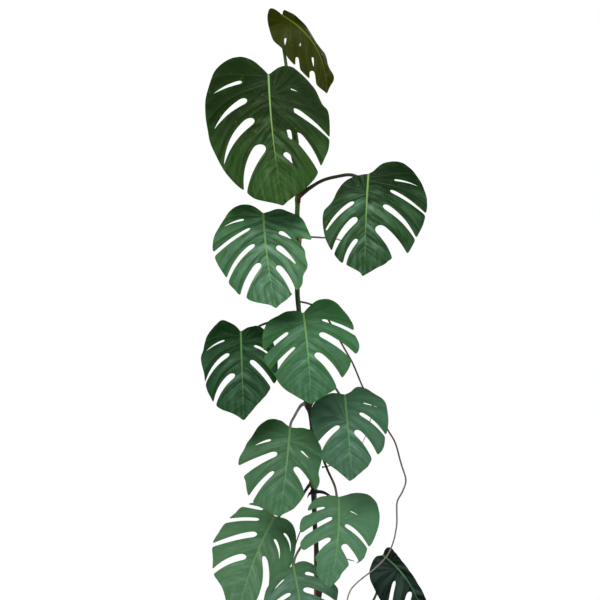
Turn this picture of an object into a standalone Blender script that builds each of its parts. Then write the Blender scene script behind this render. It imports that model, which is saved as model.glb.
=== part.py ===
"""A potted monstera climbing a cane: Blender model in metres, +Z up, origin at the centre of the pot's base.

The plant's leaves face -Y. Blade outlines are given in hundredths of the blade's length: (along, across), where
along runs from the junction with the leaf stalk to the tip and across runs towards the blade's +X side. They are
laid out on the plane y = 0 as they look from SIGHT, and each point then moves along its line of sight to its depth.
"""

import math

import bmesh
import bpy
import numpy as np
from mathutils import Vector
from mathutils.geometry import delaunay_2d_cdt

GAP = 0.0003

# Pot and soil
POT_HEIGHT = 0.265
POT_RIM_RADIUS = 0.150
POT_BASE_RADIUS = 0.112
POT_WALL = 0.0030
POT_FLOOR = 0.0035
RIM_HEIGHT = 0.022
RIM_OUT = 0.005
POT_SIDES = 40
DRAIN_COUNT = 8
DRAIN_CIRCLE = 0.078
DRAIN_RADIUS = 0.007
SOIL_BELOW_RIM = 0.030
SOIL_MOUND = 0.006

# Stem, cane and their holes in the soil
STEM_BASE_RADIUS = 0.0058
STEM_TOP_RADIUS = 0.0064
STEM_DEPTH = 0.070
STEM_SIDES = 10
CANE_RADIUS = 0.0045
CANE_X = 0.004
CANE_TOP = 0.880
CANE_DEPTH = 0.190
CANE_CLEARANCE = 0.0012
CANE_SIDES = 10

# Leaves, stalks and roots
BLADE_THICKNESS = 0.0012
BLADE_STEP = 0.019
BLADE_INNER_STEP = 0.040
SLIT_STEPS = 4
STALK_BASE_RADIUS = 0.0052
STALK_RADIUS = 0.0033
STALK_GROWTH = {"01": 1.35, "03": 1.40, "08": 1.10}
STALK_SIDES = 7
STALK_APPROACH = 0.016
SEAT_RADIUS = 0.0055
ROOT_SIDES = 6

# Ties
TIE_HEIGHT = 0.0090
TIE_THICKNESS = 0.0014
TIE_SLACK = 0.0009
TIE_Z = 0.743
TIE_TAIL = [(0.004, 0.0, 0.0), (0.017, -0.001, 0.001), (0.030, -0.003, -0.002), (0.044, -0.004, -0.010)]
CLIP_RADIUS = 0.0014
CLIP_HALF = (0.012, 0.0, 0.0032)
CLIP_STALK = "09"
CLIP_Z = 0.811

SOIL_TOP = POT_HEIGHT - SOIL_BELOW_RIM
SIGHT = np.array([-0.036, -4.2, 1.24])

# Centre line of the stem from the soil up.
STEM_LINE = [
    (0.016, 0.0, SOIL_TOP - STEM_DEPTH), (0.016, 0.0, 0.26), (0.014, 0.0, 0.42), (0.012, 0.0, 0.53),
    (0.005, 0.0, 0.62), (-0.001, 0.0, 0.73), (-0.003, 0.0, 0.87), (-0.008, 0.0, 0.94),
    (-0.021, 0.0, 0.98), (-0.031, 0.0, 1.08), (-0.038, 0.0, 1.20), (-0.043, 0.0, 1.27),
    (-0.040, 0.0, 1.39), (-0.043, 0.0, 1.45), (-0.042, 0.0, 1.53), (-0.046, 0.0, 1.65),
]

# Each stalk runs from a node on the stem, through these points, to its blade.
STALKS = {
    "01": [(-0.0459, 0.0, 1.6480), (-0.057, 0.000, 1.740), (-0.0735, 0.000, 1.860), (-0.083, 0.000, 1.935)],
    "02": [(-0.043, 0.0, 1.560), (-0.058, -0.024, 1.620), (-0.086, -0.050, 1.720), (-0.108, -0.080, 1.785)],
    "03": [(-0.042, 0.0, 1.508), (-0.013, -0.012, 1.529), (0.023, -0.030, 1.549), (0.062, -0.046, 1.558),
           (0.096, -0.060, 1.5605)],
    "04": [(-0.040, 0.0, 1.392), (-0.056, -0.035, 1.405), (-0.086, -0.070, 1.430), (-0.116, -0.098, 1.450)],
    "05": [(-0.034, 0.0, 1.128), (-0.052, -0.022, 1.160), (-0.080, -0.030, 1.186), (-0.134, -0.032, 1.176)],
    "06": [(-0.030, 0.0, 1.068), (-0.028, -0.040, 1.095), (-0.027, -0.090, 1.155), (-0.027, -0.125, 1.195)],
    "07": [(-0.033, 0.0, 1.100), (-0.014, -0.030, 1.088), (0.012, -0.065, 1.063), (0.043, -0.100, 1.032)],
    "08": [(-0.019, 0.0, 0.972), (-0.034, -0.014, 0.966), (-0.050, -0.024, 0.940), (-0.060, -0.040, 0.921)],
    "09": [(-0.004, 0.0, 0.905), (0.012, -0.026, 0.860), (0.034, -0.062, 0.806), (0.053, -0.094, 0.765)],
    "10": [(-0.001, 0.0, 0.770), (-0.018, -0.012, 0.752), (-0.041, -0.010, 0.716), (-0.075, -0.004, 0.692)],
    "11": [(0.004, 0.0, 0.640), (-0.012, -0.040, 0.632), (-0.036, -0.078, 0.606), (-0.050, -0.096, 0.580)],
    "12": [(0.015, 0.0, 0.330), (0.080, 0.022, 0.372), (0.155, 0.036, 0.450), (0.182, 0.010, 0.550)],
}

# Aerial roots: radius and route. The side root branches off the long one.
ROOTS = {
    "aerial_root_long": (0.0026, [
        (-0.038, 0.0, 1.236), (-0.012, -0.012, 1.230), (0.022, -0.020, 1.212), (0.048, -0.022, 1.170),
        (0.073, -0.022, 1.124), (0.099, -0.020, 1.079), (0.128, -0.018, 1.012), (0.159, -0.016, 0.955),
        (0.192, -0.018, 0.903), (0.212, -0.020, 0.865), (0.226, -0.022, 0.815), (0.238, -0.025, 0.775),
        (0.229, -0.030, 0.746), (0.214, -0.036, 0.716), (0.213, -0.046, 0.661), (0.200, -0.060, 0.612),
        (0.181, -0.072, 0.580), (0.142, -0.082, 0.546), (0.107, -0.082, 0.517), (0.091, -0.076, 0.494),
        (0.083, -0.072, 0.462), (0.078, -0.066, 0.390), (0.082, -0.058, 0.300), (0.084, -0.056, 0.215),
    ]),
    "aerial_root_upper": (0.0028, [
        (-0.040, 0.0, 1.400), (-0.012, -0.010, 1.403), (0.020, -0.012, 1.402), (0.052, -0.010, 1.400),
        (0.078, -0.004, 1.392),
    ]),
    "aerial_root_middle": (0.0030, [
        (-0.020, 0.0, 0.978), (-0.008, -0.010, 0.984), (0.004, -0.014, 0.981),
    ]),
    "aerial_root_side": (0.0013, [
        (0.159, -0.016, 0.955), (0.146, -0.024, 0.930), (0.136, -0.026, 0.895), (0.124, -0.026, 0.868),
        (0.118, -0.025, 0.845),
    ]),
    "aerial_root_short": (0.0023, [
        (0.009, 0.0, 0.566), (0.045, -0.024, 0.572), (0.080, -0.040, 0.573), (0.104, -0.046, 0.569),
    ]),
    "aerial_root_left": (0.0017, [
        (0.0015, 0.0, 0.690), (-0.016, -0.022, 0.678), (-0.034, -0.034, 0.645), (-0.050, -0.038, 0.600),
        (-0.056, -0.040, 0.540), (-0.048, -0.042, 0.450), (-0.042, -0.044, 0.340), (-0.044, -0.044, 0.215),
    ]),
}
SOIL_ROOTS = ["aerial_root_long", "aerial_root_left"]
BRANCH, BRANCHED_FROM = "aerial_root_side", "aerial_root_long"

# Junction and tip: X, depth and Z, with X and Z on the plane y = 0. Slits: (along, across) of the inner end, the same
# of the outer end, width, width at the outer end, bow. One that is wide at its outer end runs out through the margin.
BLADES = {
    "01": dict(
        junction=(-0.0815, -0.030, 1.9784), tip=(0.0342, -0.050, 1.7782),
        bend=0.15, arch=-0.10, roll=0.0, cup=0.7, droop=0.0, right_fold=7.5,
        left=[(-4, -1), (-10, -3.8), (-14.4, -7.8), (-11.3, -12.7), (-4.8, -17.2), (5, -20.4),
              (15.5, -22.5), (22.4, -21.8), (31, -19), (38, -18.6), (46, -18.4), (54, -16.6), (60, -14),
              (66, -12.2), (73.7, -9.6), (80, -6.2), (86, -4.6), (91, -3), (96, -0.6)],
        right=[(-5.6, 4.3), (-1.8, 6.9), (5.8, 12.2), (15.3, 15.2), (25, 17.3), (37.6, 17.8),
               (51.7, 18.7), (62.4, 20.3), (72.3, 17.2), (80, 16.8), (85.4, 17.4), (90.5, 15.1),
               (94.8, 6.8)],
        slits=[(22.7, -9, 31.2, -16.2, 3, 0, 0), (35.6, 2.7, 40.6, -1, 2, 0, 0),
               (55.9, 6.7, 67.7, 1.4, 3, 0, 0), (47.2, -9, 60, -15.8, 4, 5.6, 0),
               (69, -1.8, 84, -8.3, 6.4, 6.8, 0)],
    ),
    "02": dict(
        junction=(-0.1179, -0.120, 1.8250), tip=(-0.0789, -0.235, 1.4857),
        bend=-0.02, arch=0.09, roll=0.10, cup=0.10, droop=0.35,
        left=[(-6, -4.5), (-12, -10.5), (-15.7, -18), (-16, -24), (-13.6, -30.3), (-9.5, -36.3), (-4.5, -41.3),
              (3.3, -45.4), (14, -50), (26, -51.5), (36, -51), (46, -50), (56, -46.8), (67, -42.5),
              (74, -38.5), (81, -33), (87, -26.5), (92, -21), (95, -13), (98, -4)],
        right=[(-3, 5), (-5.5, 10), (-5.3, 15), (-3, 20), (2, 24), (8, 29), (15, 34), (26, 38.5),
               (30.5, 42.3), (38, 43), (50, 41.5), (61, 39), (68, 35), (74.5, 31), (79, 28.3), (83, 25),
               (88, 19), (92.5, 11), (97.5, 2.5)],
        slits=[(3, -20, 10, -44, 2.8, 0, 1.4), (16.4, -18.2, 36.4, -46.2, 5.4, 0, 2.7),
               (31.7, -14.9, 65.2, -41.2, 7, 0, 4.5), (52, -10, 89, -27.8, 9.5, 1.2, 3.9),
               (11.6, 14, 15.6, 21.4, 1.3, 0, 0), (27.4, 15.1, 54.4, 42.1, 4, 0.9, 1.4),
               (43, 9.2, 51.5, 12.2, 5.2, 0, 0), (46.1, 14.3, 78.2, 30.6, 7, 3.2, 1.8),
               (59.8, 4.8, 74.3, 14.3, 4.4, 0, 1)],
    ),
    "03": dict(
        junction=(0.1418, -0.100, 1.5679), tip=(0.1330, -0.200, 1.3024),
        bend=-0.01, arch=0.09, roll=0.28, cup=0.12, droop=0.30,
        left=[(1, -7), (4, -16), (9, -23), (14, -27.5), (20, -31), (27, -34), (32, -38), (36, -42),
              (42, -43), (50, -42.5), (57, -41.3), (64, -39.5), (70, -36.5), (77, -33), (82, -29),
              (87, -24), (90, -16.5), (94, -8), (96.5, -4)],
        right=[(-3, 5), (-8, 10), (-11.5, 16), (-13.2, 24), (-12.5, 33), (-9, 39), (-5, 44), (0, 47.5),
               (8, 51.5), (15, 54), (24, 57), (33, 57.6), (42, 57), (50, 55.5), (60.5, 50.5), (69, 46),
               (77, 40.5), (80.5, 32), (83, 23), (87, 19), (91, 11), (95, 5), (97, 1.5)],
        slits=[(27, -12.5, 55.9, -39.6, 4.2, 1.6, 2.8), (42.5, -9.5, 80, -33, 6.8, 2.4, 3.5),
               (63, -8.5, 91, -21, 4.4, 3.2, 2.5), (5.5, 24, 13, 50, 2.3, 0, 1.7),
               (15.1, 20.8, 38.4, 58.1, 3.2, 1.2, 2.1), (29.5, 14.9, 62.2, 51.8, 6, 1.8, 3.5),
               (50.5, 9.5, 84, 35, 10, 19, 3.5)],
        tip_across=-3,
    ),
    "04": dict(
        junction=(-0.1317, -0.130, 1.4649), tip=(-0.0984, -0.235, 1.2192),
        bend=-0.02, arch=0.08, roll=-0.18, cup=0.12, droop=0.40,
        left=[(-6, -5.5), (-10, -11.5), (-12.2, -18.5), (-12, -23.5), (-10, -30.5), (-6, -36.5),
              (-1, -40.5), (5, -44), (11, -47.5), (18, -51.5), (27, -54.3), (36, -55), (44, -54),
              (51, -52), (61.5, -47.5), (68, -45.5), (74, -41), (80.5, -36.5), (84, -30), (88, -25.5),
              (91, -18), (93, -12), (95.5, -5)],
        right=[(-1.5, 8.5), (-2.5, 13.5), (-2, 19.5), (0.5, 25), (5, 31), (9, 36.5), (15, 40.5),
               (23, 43), (30, 45), (35.5, 46.5), (41, 43), (46, 38), (52, 38), (58, 39), (63, 37.5),
               (70, 32.5), (76.5, 31.5), (82, 28), (85, 22), (88.6, 16.5), (92.7, 11), (96, 4.3)],
        slits=[(4.2, -19.5, 11, -43, 2.6, 0, 1.5), (13.5, -14.5, 38.5, -56, 3, 3.2, 2),
               (30.5, -12.5, 64.6, -47.4, 5, 3, 4.4), (50.7, -9.6, 86.6, -33.8, 7.2, 7, 3.2),
               (29, 30, 44, 46, 2.6, 16, 0), (21.3, 13.2, 31.2, 26.3, 4.8, 0, 0.8),
               (35.5, 9, 59, 28, 6.4, 0, 1.2), (55.5, 6.5, 86, 20.5, 6.5, 6, 2)],
    ),
    "05": dict(
        junction=(-0.1899, -0.050, 1.1563), tip=(-0.1819, -0.150, 0.9280),
        bend=0.0, arch=0.08, roll=-0.22, cup=0.12, droop=0.35,
        left=[(-5, -3.5), (-9, -8.5), (-12, -14.5), (-14.2, -21), (-10, -27.5), (-5, -31.5), (0, -35.5),
              (6, -39), (12, -41), (20, -42.5), (27, -45.7), (36, -45.5), (45, -44), (55, -43.5),
              (65, -41), (72, -37.5), (78.5, -34), (83, -29.5), (87, -23.5), (90, -15.5), (94, -7.5)],
        right=[(-4, 6.5), (-5.5, 12.5), (-6, 18), (-4, 23), (0, 28), (5, 32), (12, 36), (20, 38.5),
               (30, 40.5), (40, 40.5), (48, 40), (55, 38.5), (60.5, 35), (65, 31.5), (70, 28.5),
               (75.5, 23), (80.9, 17.2), (86.6, 12), (92.6, 6.6)],
        slits=[(8.9, -17.3, 22.2, -40.9, 2.3, 0, 1.9), (23.8, -13.2, 56.3, -43.7, 5.4, 1, 4.2),
               (46.6, -8.4, 81.2, -32.8, 7.4, 4.2, 4.2), (15.5, 13.5, 32, 36, 3.4, 0, 2.5),
               (32.2, 9.4, 63.3, 34.6, 6.2, 4.6, 2)],
    ),
    "06": dict(
        junction=(-0.0269, -0.160, 1.2049), tip=(-0.0074, -0.255, 0.9696),
        bend=0.015, arch=0.08, roll=0.05, cup=0.10, droop=0.40,
        left=[(-3, -6), (-4, -13), (-3, -20), (0, -26), (3.5, -33), (8, -39.5), (15, -43.5), (22, -46.5),
              (30, -47.7), (38, -46.8), (46, -47.5), (52, -45.5), (60, -40), (66, -36), (71, -34.5),
              (76, -31.5), (82, -26), (87, -19), (92, -12), (97, -4)],
        right=[(-3, 2.5), (-6, 6), (-9, 10), (-12, 15), (-13.3, 23), (-12.5, 31), (-8, 38), (-1, 44),
               (5, 49), (12, 53), (19, 54.3), (27, 53.7), (38, 57), (45, 56.5), (51, 52.7), (56, 47.5),
               (62, 45.5), (68, 42), (75, 36), (80, 31.5), (84.5, 29.5), (87, 25.5), (90, 19), (93, 13),
               (97, 5)],
        slits=[(19, -17.5, 42.5, -49.5, 3.8, 3.6, 1), (35.5, -11.4, 61, -39, 3, 8, 1.5),
               (8.7, 18.5, 27.3, 54.7, 3, 5, 1.8), (23.3, 15.1, 55.9, 51.2, 6.5, 7, 2.9),
               (44.2, 9, 81.5, 34.3, 8, 9, 3.6)],
        tip_across=1,
    ),
    "07": dict(
        junction=(0.0807, -0.130, 0.9946), tip=(0.1010, -0.220, 0.7707),
        bend=0.0, arch=0.08, roll=0.25, cup=0.12, droop=0.35,
        left=[(-3, -11), (-3, -16), (-1, -22), (2, -29), (6, -35), (12, -39), (20, -41.8), (28, -42),
              (36, -41), (43, -38.5), (51.5, -35.3), (58, -36), (66, -37), (70, -35.5), (75, -30.5),
              (80, -24), (85, -18), (90, -13), (96, -7)],
        right=[(-2.5, 7), (-6.3, 11.5), (-7.6, 16), (-7.2, 21.5), (-4.5, 27), (1, 33), (5, 38.8),
               (9.2, 43.8), (14.5, 46), (22, 46.5), (35, 46.8), (44.3, 45.5), (54.5, 42), (62.5, 40.6),
               (68, 37.6), (73, 31.5), (77.5, 23.8), (81.5, 21.4), (85.5, 18.3), (89, 13), (93, 7.4),
               (98, 0.4)],
        slits=[(34.9, -8.9, 62, -37.8, 5.5, 10, 3.1), (11.3, 18.5, 20.2, 39, 1.4, 0, 0.5),
               (22.3, 14, 54.2, 44, 4.6, 1.4, 3.1), (41.9, 7.5, 75.7, 28.4, 8, 9, 2.8)],
        tip_across=-4,
    ),
    "08": dict(
        junction=(-0.0620, -0.070, 0.9088), tip=(-0.0885, -0.160, 0.6784),
        bend=0.01, arch=0.08, roll=-0.15, cup=0.10, droop=0.40,
        left=[(-4, -6.5), (-6, -9.5), (-7.2, -16), (-7, -21), (-5.5, -26.5), (-2, -31.5), (4, -36),
              (10, -38.5), (18, -42), (25, -45), (33, -46.8), (40.8, -50), (50, -51), (58, -47),
              (65, -42.8), (72, -41.6), (78.6, -39.6), (84, -36.5), (88.5, -31), (91.5, -25),
              (94.5, -17.3), (98, -10)],
        right=[(0, 6), (-1, 13), (-1, 19), (1, 25), (6, 29.5), (13, 33), (20, 37), (28, 39), (35, 39.2),
               (42, 38), (48.5, 37.7), (55.2, 40), (62.5, 38.7), (68, 35), (72, 26), (77, 23),
               (80.8, 21), (85.8, 17.5), (89.8, 14.4), (93.6, 9), (97, 3.5)],
        slits=[(16.5, -18.2, 26.6, -37.2, 2.8, 0, 0.6), (29.9, -10.2, 58.3, -51.5, 6.4, 12, 1.9),
               (50.2, -11.7, 88.6, -36.9, 4.8, 8, 2.5), (24, 14.4, 33.4, 26.4, 2, 0, 0),
               (43.2, 9.7, 71, 31, 7, 13, 2)],
        tip_across=-2,
    ),
    "09": dict(
        junction=(0.0649, -0.130, 0.7278), tip=(0.0417, -0.220, 0.4922),
        bend=0.035, arch=0.08, roll=0.15, cup=0.10, droop=0.35,
        left=[(-1, -8), (0, -14), (2, -20), (5, -25), (9, -29), (15, -32.5), (22, -33), (27, -38),
              (32, -39.5), (40.5, -39), (46, -33.2), (52, -37), (58, -36.7), (62, -32), (66, -24),
              (72, -17.5), (80, -17), (86, -16), (90, -13), (96, -6)],
        right=[(-2, 6), (-4, 10), (-6, 17), (-6.5, 24), (-5.9, 31.7), (-2.5, 37.7), (2.6, 41.8), (10, 44),
               (18, 46), (25, 46.5), (33, 45.5), (40, 44), (46, 42.3), (52, 38), (58, 36), (64, 34),
               (69, 28.5), (72, 21), (75, 16.5), (79, 14), (83, 10.7), (87, 10), (91, 7), (96, 3)],
        slits=[(12.8, -13.2, 22.3, -34, 2.6, 4, 1), (22.9, -4.3, 46.6, -37.7, 4.6, 5, 1.2),
               (45.5, -4, 69, -28, 5, 16, 2), (13.6, 12.7, 18.5, 24.3, 1.3, 0, 0),
               (29.3, 9.1, 53.2, 39.2, 5, 2, 2.8), (50.9, 9.3, 71, 24, 8, 12, 1)],
        tip_across=-1,
    ),
    "10": dict(
        junction=(-0.1023, -0.030, 0.6779), tip=(-0.2011, -0.140, 0.4028),
        bend=-0.04, arch=0.08, roll=-0.15, cup=0.10, droop=0.35,
        left=[(-4, -6), (-6, -13), (-6, -19), (-3, -25), (2, -31), (9, -34.5), (16, -38), (22, -39.7),
              (30, -41.5), (42, -43.5), (50, -40.5), (58, -37.7), (65.5, -35.5), (70, -29), (75, -22.5),
              (80, -18.5), (86, -14.5), (92, -9)],
        right=[(-1, 5), (-1, 12), (1, 17), (5, 21), (10, 24), (17, 26.5), (25, 28), (34, 28.5),
               (43, 26.8), (52, 24), (62, 21.5), (72, 18.5), (78, 15.5), (81.5, 10), (86, 7), (92, 4.5)],
        slits=[(-2.6, -11, 0, -31, 2.8, 3, 0), (7, -11.2, 19, -40.2, 3, 4, 1),
               (19.5, -8.9, 44.5, -44.5, 5.2, 2.5, 1.5), (41.3, -11.4, 67.9, -37.2, 6, 3.6, 3.2),
               (11, 12, 26, 24, 2.4, 0, 2.5), (18.5, 6, 35, 17, 2.6, 0, 1.8),
               (35.5, 2.5, 83.4, 12.4, 5, 8, 5.1)],
        tip_across=1,
    ),
    "11": dict(
        junction=(-0.0537, -0.120, 0.5497), tip=(-0.0230, -0.215, 0.3170),
        bend=0.02, arch=0.08, roll=0.05, cup=0.10, droop=0.35,
        left=[(1, -3), (4, -9), (6, -16), (10, -23), (16, -29), (22, -33.5), (30, -36.5), (38, -38.5),
              (46, -39.5), (54, -38.5), (62, -36.5), (70, -33.5), (78, -28), (84, -22), (90, -14),
              (95, -7)],
        right=[(-3, 5), (-3.5, 11), (-2, 17), (2, 22), (8, 27), (15, 32.5), (22, 38), (28, 42.5),
               (33, 45.3), (38, 44.5), (46, 42.5), (54, 41), (62, 38), (70, 33), (78, 27), (84, 21),
               (90, 13), (95, 6.5)],
        slits=[(13, -11, 31, -32.5, 1.6, 0, 0.5), (29.9, -6.1, 54, -39.8, 4.5, 4, 3),
               (52, -7, 81, -30, 6, 7, 3.5), (10, 11, 18.5, 27, 4.4, 0, 1.2),
               (27, 7, 51, 43.5, 6.5, 5, 3), (48, 6, 80, 30, 7, 8, 3)],
    ),
    "12": dict(
        junction=(0.1798, -0.020, 0.5778), tip=(0.2864, -0.050, 0.3872),
        bend=0.11, arch=0.04, roll=0.6, cup=-1.1, droop=0.0,
        left=[(-3, -8), (2, -17), (9, -23.6), (20, -28), (34, -28.5), (47, -28), (58, -27), (68, -24),
              (78, -19), (86, -13), (94, -6)],
        right=[(-5, 5), (-5, 11.5), (3, 14), (14, 15.5), (25, 17.5), (37, 19), (50, 19.5), (62, 19.5),
               (73, 18.5), (82, 14), (90, 8), (96, 3)],
        slits=[(32.5, -1.9, 66, -28, 4, 5, 1), (53, 7.6, 85, -17, 6.5, 9, 2)],
    ),
}

# Base colour and roughness of each material.
LOOKS = {
    "pot": ((0.045, 0.047, 0.050), 0.55), "soil": ((0.055, 0.036, 0.022), 0.95), "cane": ((0.42, 0.30, 0.15), 0.50),
    "stem": ((0.13, 0.17, 0.05), 0.50), "stalk": ((0.11, 0.11, 0.045), 0.50), "root": ((0.22, 0.17, 0.13), 0.80),
    "blade": ((0.045, 0.16, 0.05), 0.35), "tie": ((0.012, 0.014, 0.05), 0.90), "clip": ((0.02, 0.02, 0.02), 0.60),
}


def material(name):
    found = bpy.data.materials.get(name)
    if found:
        return found
    color, roughness = LOOKS[name]
    made = bpy.data.materials.new(name)
    made.use_nodes = True
    shader = made.node_tree.nodes["Principled BSDF"]
    shader.inputs["Base Color"].default_value = (*color, 1.0)
    shader.inputs["Roughness"].default_value = roughness
    return made


def mesh_object(name, vertices, faces, look, helper=False):
    mesh = bpy.data.meshes.new(name)
    mesh.from_pydata([tuple(map(float, v)) for v in vertices], [], [tuple(map(int, f)) for f in faces])
    work = bmesh.new()
    work.from_mesh(mesh)
    bmesh.ops.recalc_face_normals(work, faces=work.faces)
    work.to_mesh(mesh)
    work.free()
    mesh.materials.append(material(look))
    mesh.shade_smooth()
    mesh.set_sharp_from_angle(angle=math.radians(50))
    made = bpy.data.objects.new(name, mesh)
    bpy.context.scene.collection.objects.link(made)
    if helper:
        made.hide_render = True
        made.display_type = "WIRE"
    return made


def boolean(target, cutter, operation="DIFFERENCE"):
    modifier = target.modifiers.new(f"{operation.lower()} {cutter.name}", "BOOLEAN")
    modifier.operation = operation
    modifier.solver = "EXACT"
    modifier.object = cutter


def smooth_curve(points, per_span):
    """Catmull-Rom curve through the points, with per_span steps between neighbours."""
    p = np.array(points, float)
    ends = np.vstack([2 * p[0] - p[1], p, 2 * p[-1] - p[-2]])
    t = np.linspace(0, 1, per_span, endpoint=False)[:, None]
    out = []
    for a, b, c, d in zip(ends, ends[1:], ends[2:], ends[3:]):
        out.append(0.5 * (2 * b + (c - a) * t + (2 * a - 5 * b + 4 * c - d) * t**2 + (3 * b - a - 3 * c + d) * t**3))
    return np.vstack(out + [p[-1:]])


def even_steps(curve, step):
    """Points along a curve at even distances close to step."""
    lengths = np.r_[0, np.cumsum(np.linalg.norm(np.diff(curve, axis=0), axis=1))]
    count = max(2, round(lengths[-1] / step) + 1)
    at = np.linspace(0, lengths[-1], count)
    return np.stack([np.interp(at, lengths, curve[:, k]) for k in range(curve.shape[1])], axis=1)


def tube(name, line, radii, sides, look, helper=False, last_way=None):
    """A round tube with flat ends along a line of points. last_way turns its last end to face that way."""
    line = np.array(line, float)
    tangents = np.gradient(line, axis=0)
    if last_way is not None:
        tangents[-1] = last_way
    tangents /= np.linalg.norm(tangents, axis=1)[:, None]
    side = np.cross(tangents[0], (0.3, 0.9, 0.1))
    angles = np.arange(sides) * 2 * math.pi / sides
    rings = []
    for centre, along, radius in zip(line, tangents, radii):
        side = side - along * np.dot(side, along)
        side /= np.linalg.norm(side)
        other = np.cross(along, side)
        rings.append(centre + radius * (np.cos(angles)[:, None] * side + np.sin(angles)[:, None] * other))
    faces = [list(range(sides))[::-1], list(range((len(line) - 1) * sides, len(line) * sides))]
    for row in range(len(line) - 1):
        for k in range(sides):
            here, after = row * sides + k, row * sides + (k + 1) % sides
            faces.append((here, after, after + sides, here + sides))
    return mesh_object(name, np.vstack(rings), faces, look, helper)


def lathe(name, profile, sides, look):
    """A closed profile of (radius, height) points turned about Z; points on the axis close to one vertex."""
    rings, vertices = [], []
    for radius, height in profile:
        if radius < 1e-6:
            rings.append([len(vertices)] * sides)
            vertices.append((0, 0, height))
            continue
        rings.append(list(range(len(vertices), len(vertices) + sides)))
        turns = [2 * math.pi * k / sides for k in range(sides)]
        vertices += [(radius * math.cos(t), radius * math.sin(t), height) for t in turns]
    faces = []
    for low, high in zip(rings, rings[1:] + rings[:1]):
        for k in range(sides):
            after = (k + 1) % sides
            face = list(dict.fromkeys([low[k], low[after], high[after], high[k]]))
            if len(face) > 2:
                faces.append(face)
    return mesh_object(name, vertices, faces, look)


def disc_prism(name, centre, radius, low, high, sides, look, helper=False):
    line = [(centre[0], centre[1], low), (centre[0], centre[1], high)]
    return tube(name, line, [radius, radius], sides, look, helper)


def inside(points, polygon):
    """Which of the points lie inside a closed polygon."""
    x, y = points[:, 0][:, None], points[:, 1][:, None]
    a, b = polygon, np.roll(polygon, -1, axis=0)
    crosses = (a[:, 1] > y) != (b[:, 1] > y)
    height = np.where(b[:, 1] == a[:, 1], 1e-12, b[:, 1] - a[:, 1])
    at = a[:, 0] + (y - a[:, 1]) * (b[:, 0] - a[:, 0]) / height
    return (np.sum(crosses & (x < at), axis=1) % 2) == 1


def slit_polygon(slit, steps):
    """Outline of one slit: a bowed band that is round at its inner end."""
    inner, outer = np.array(slit[:2]) / 100, np.array(slit[2:4]) / 100
    width, mouth, bow = (value / 100 for value in slit[4:])
    chord = outer - inner
    side = np.array([-chord[1], chord[0]]) / np.hypot(*chord)
    side = side if side[0] < 0 else -side
    t = np.linspace(0, 1, 2 * steps + 1) ** 1.25
    centre = inner + t[:, None] * chord + (4 * t * (1 - t))[:, None] * bow * side
    round_end = np.sqrt(1 - (1 - np.minimum(t / 0.12, 1)) ** 2)
    half = 0.5 * round_end * (width + (mouth - width) * t**1.6)
    one, two = centre + half[:, None] * side, centre - half[:, None] * side
    if mouth == 0:
        return np.vstack([one[:-1], two[:0:-1]])
    return np.vstack([one, two[:0:-1]])


def smooth_step(share):
    share = np.clip(share, 0, 1)
    return share**2 * (3 - 2 * share)


def crease(offset):
    """Distance from the midrib, rounded off within two hundredths of it."""
    return np.sqrt(offset**2 + 0.02**2) - 0.02


def blade_point(blade, along, across):
    """Place on the blade's middle surface of a point given in shares of its length."""
    junction, tip = np.array(blade["junction"]), np.array(blade["tip"])
    run = tip - junction
    length = math.hypot(run[0], run[2])
    down = np.array([run[0], 0, run[2]]) / length
    out = np.array([-down[2], 0, down[0]])
    arch = 4 * along * (1 - along)
    offset = across - blade["bend"] * arch
    reach = run[1] * along / length - blade["arch"] * arch + blade["roll"] * offset + blade["droop"] * offset**2
    reach -= blade["cup"] * smooth_step(along / 0.3) * crease(offset)
    ends = smooth_step((along - 0.08) / 0.3) * smooth_step((0.9 - along) / 0.25)
    reach += blade.get("right_fold", 0) * ends * crease(np.maximum(offset, 0))
    depth = junction[1] + length * reach
    flat = junction * (1, 0, 1) + length * (along[..., None] * down + across[..., None] * out)
    place = SIGHT + (flat - SIGHT) * (1 + depth / -SIGHT[1])[..., None]
    place[..., 1] = depth
    return place


def blade_normal(blade, along, across):
    """Unit normal towards the blade's upper side."""
    d = 1e-4
    u = blade_point(blade, along + d, across) - blade_point(blade, along - d, across)
    v = blade_point(blade, along, across + d) - blade_point(blade, along, across - d)
    n = np.cross(u, v)
    n /= np.linalg.norm(n, axis=-1, keepdims=True)
    return np.where(n[..., 1:2] < 0, n, -n)


def blade_length(blade):
    run = np.array(blade["tip"]) - np.array(blade["junction"])
    return math.hypot(run[0], run[2])


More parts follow.
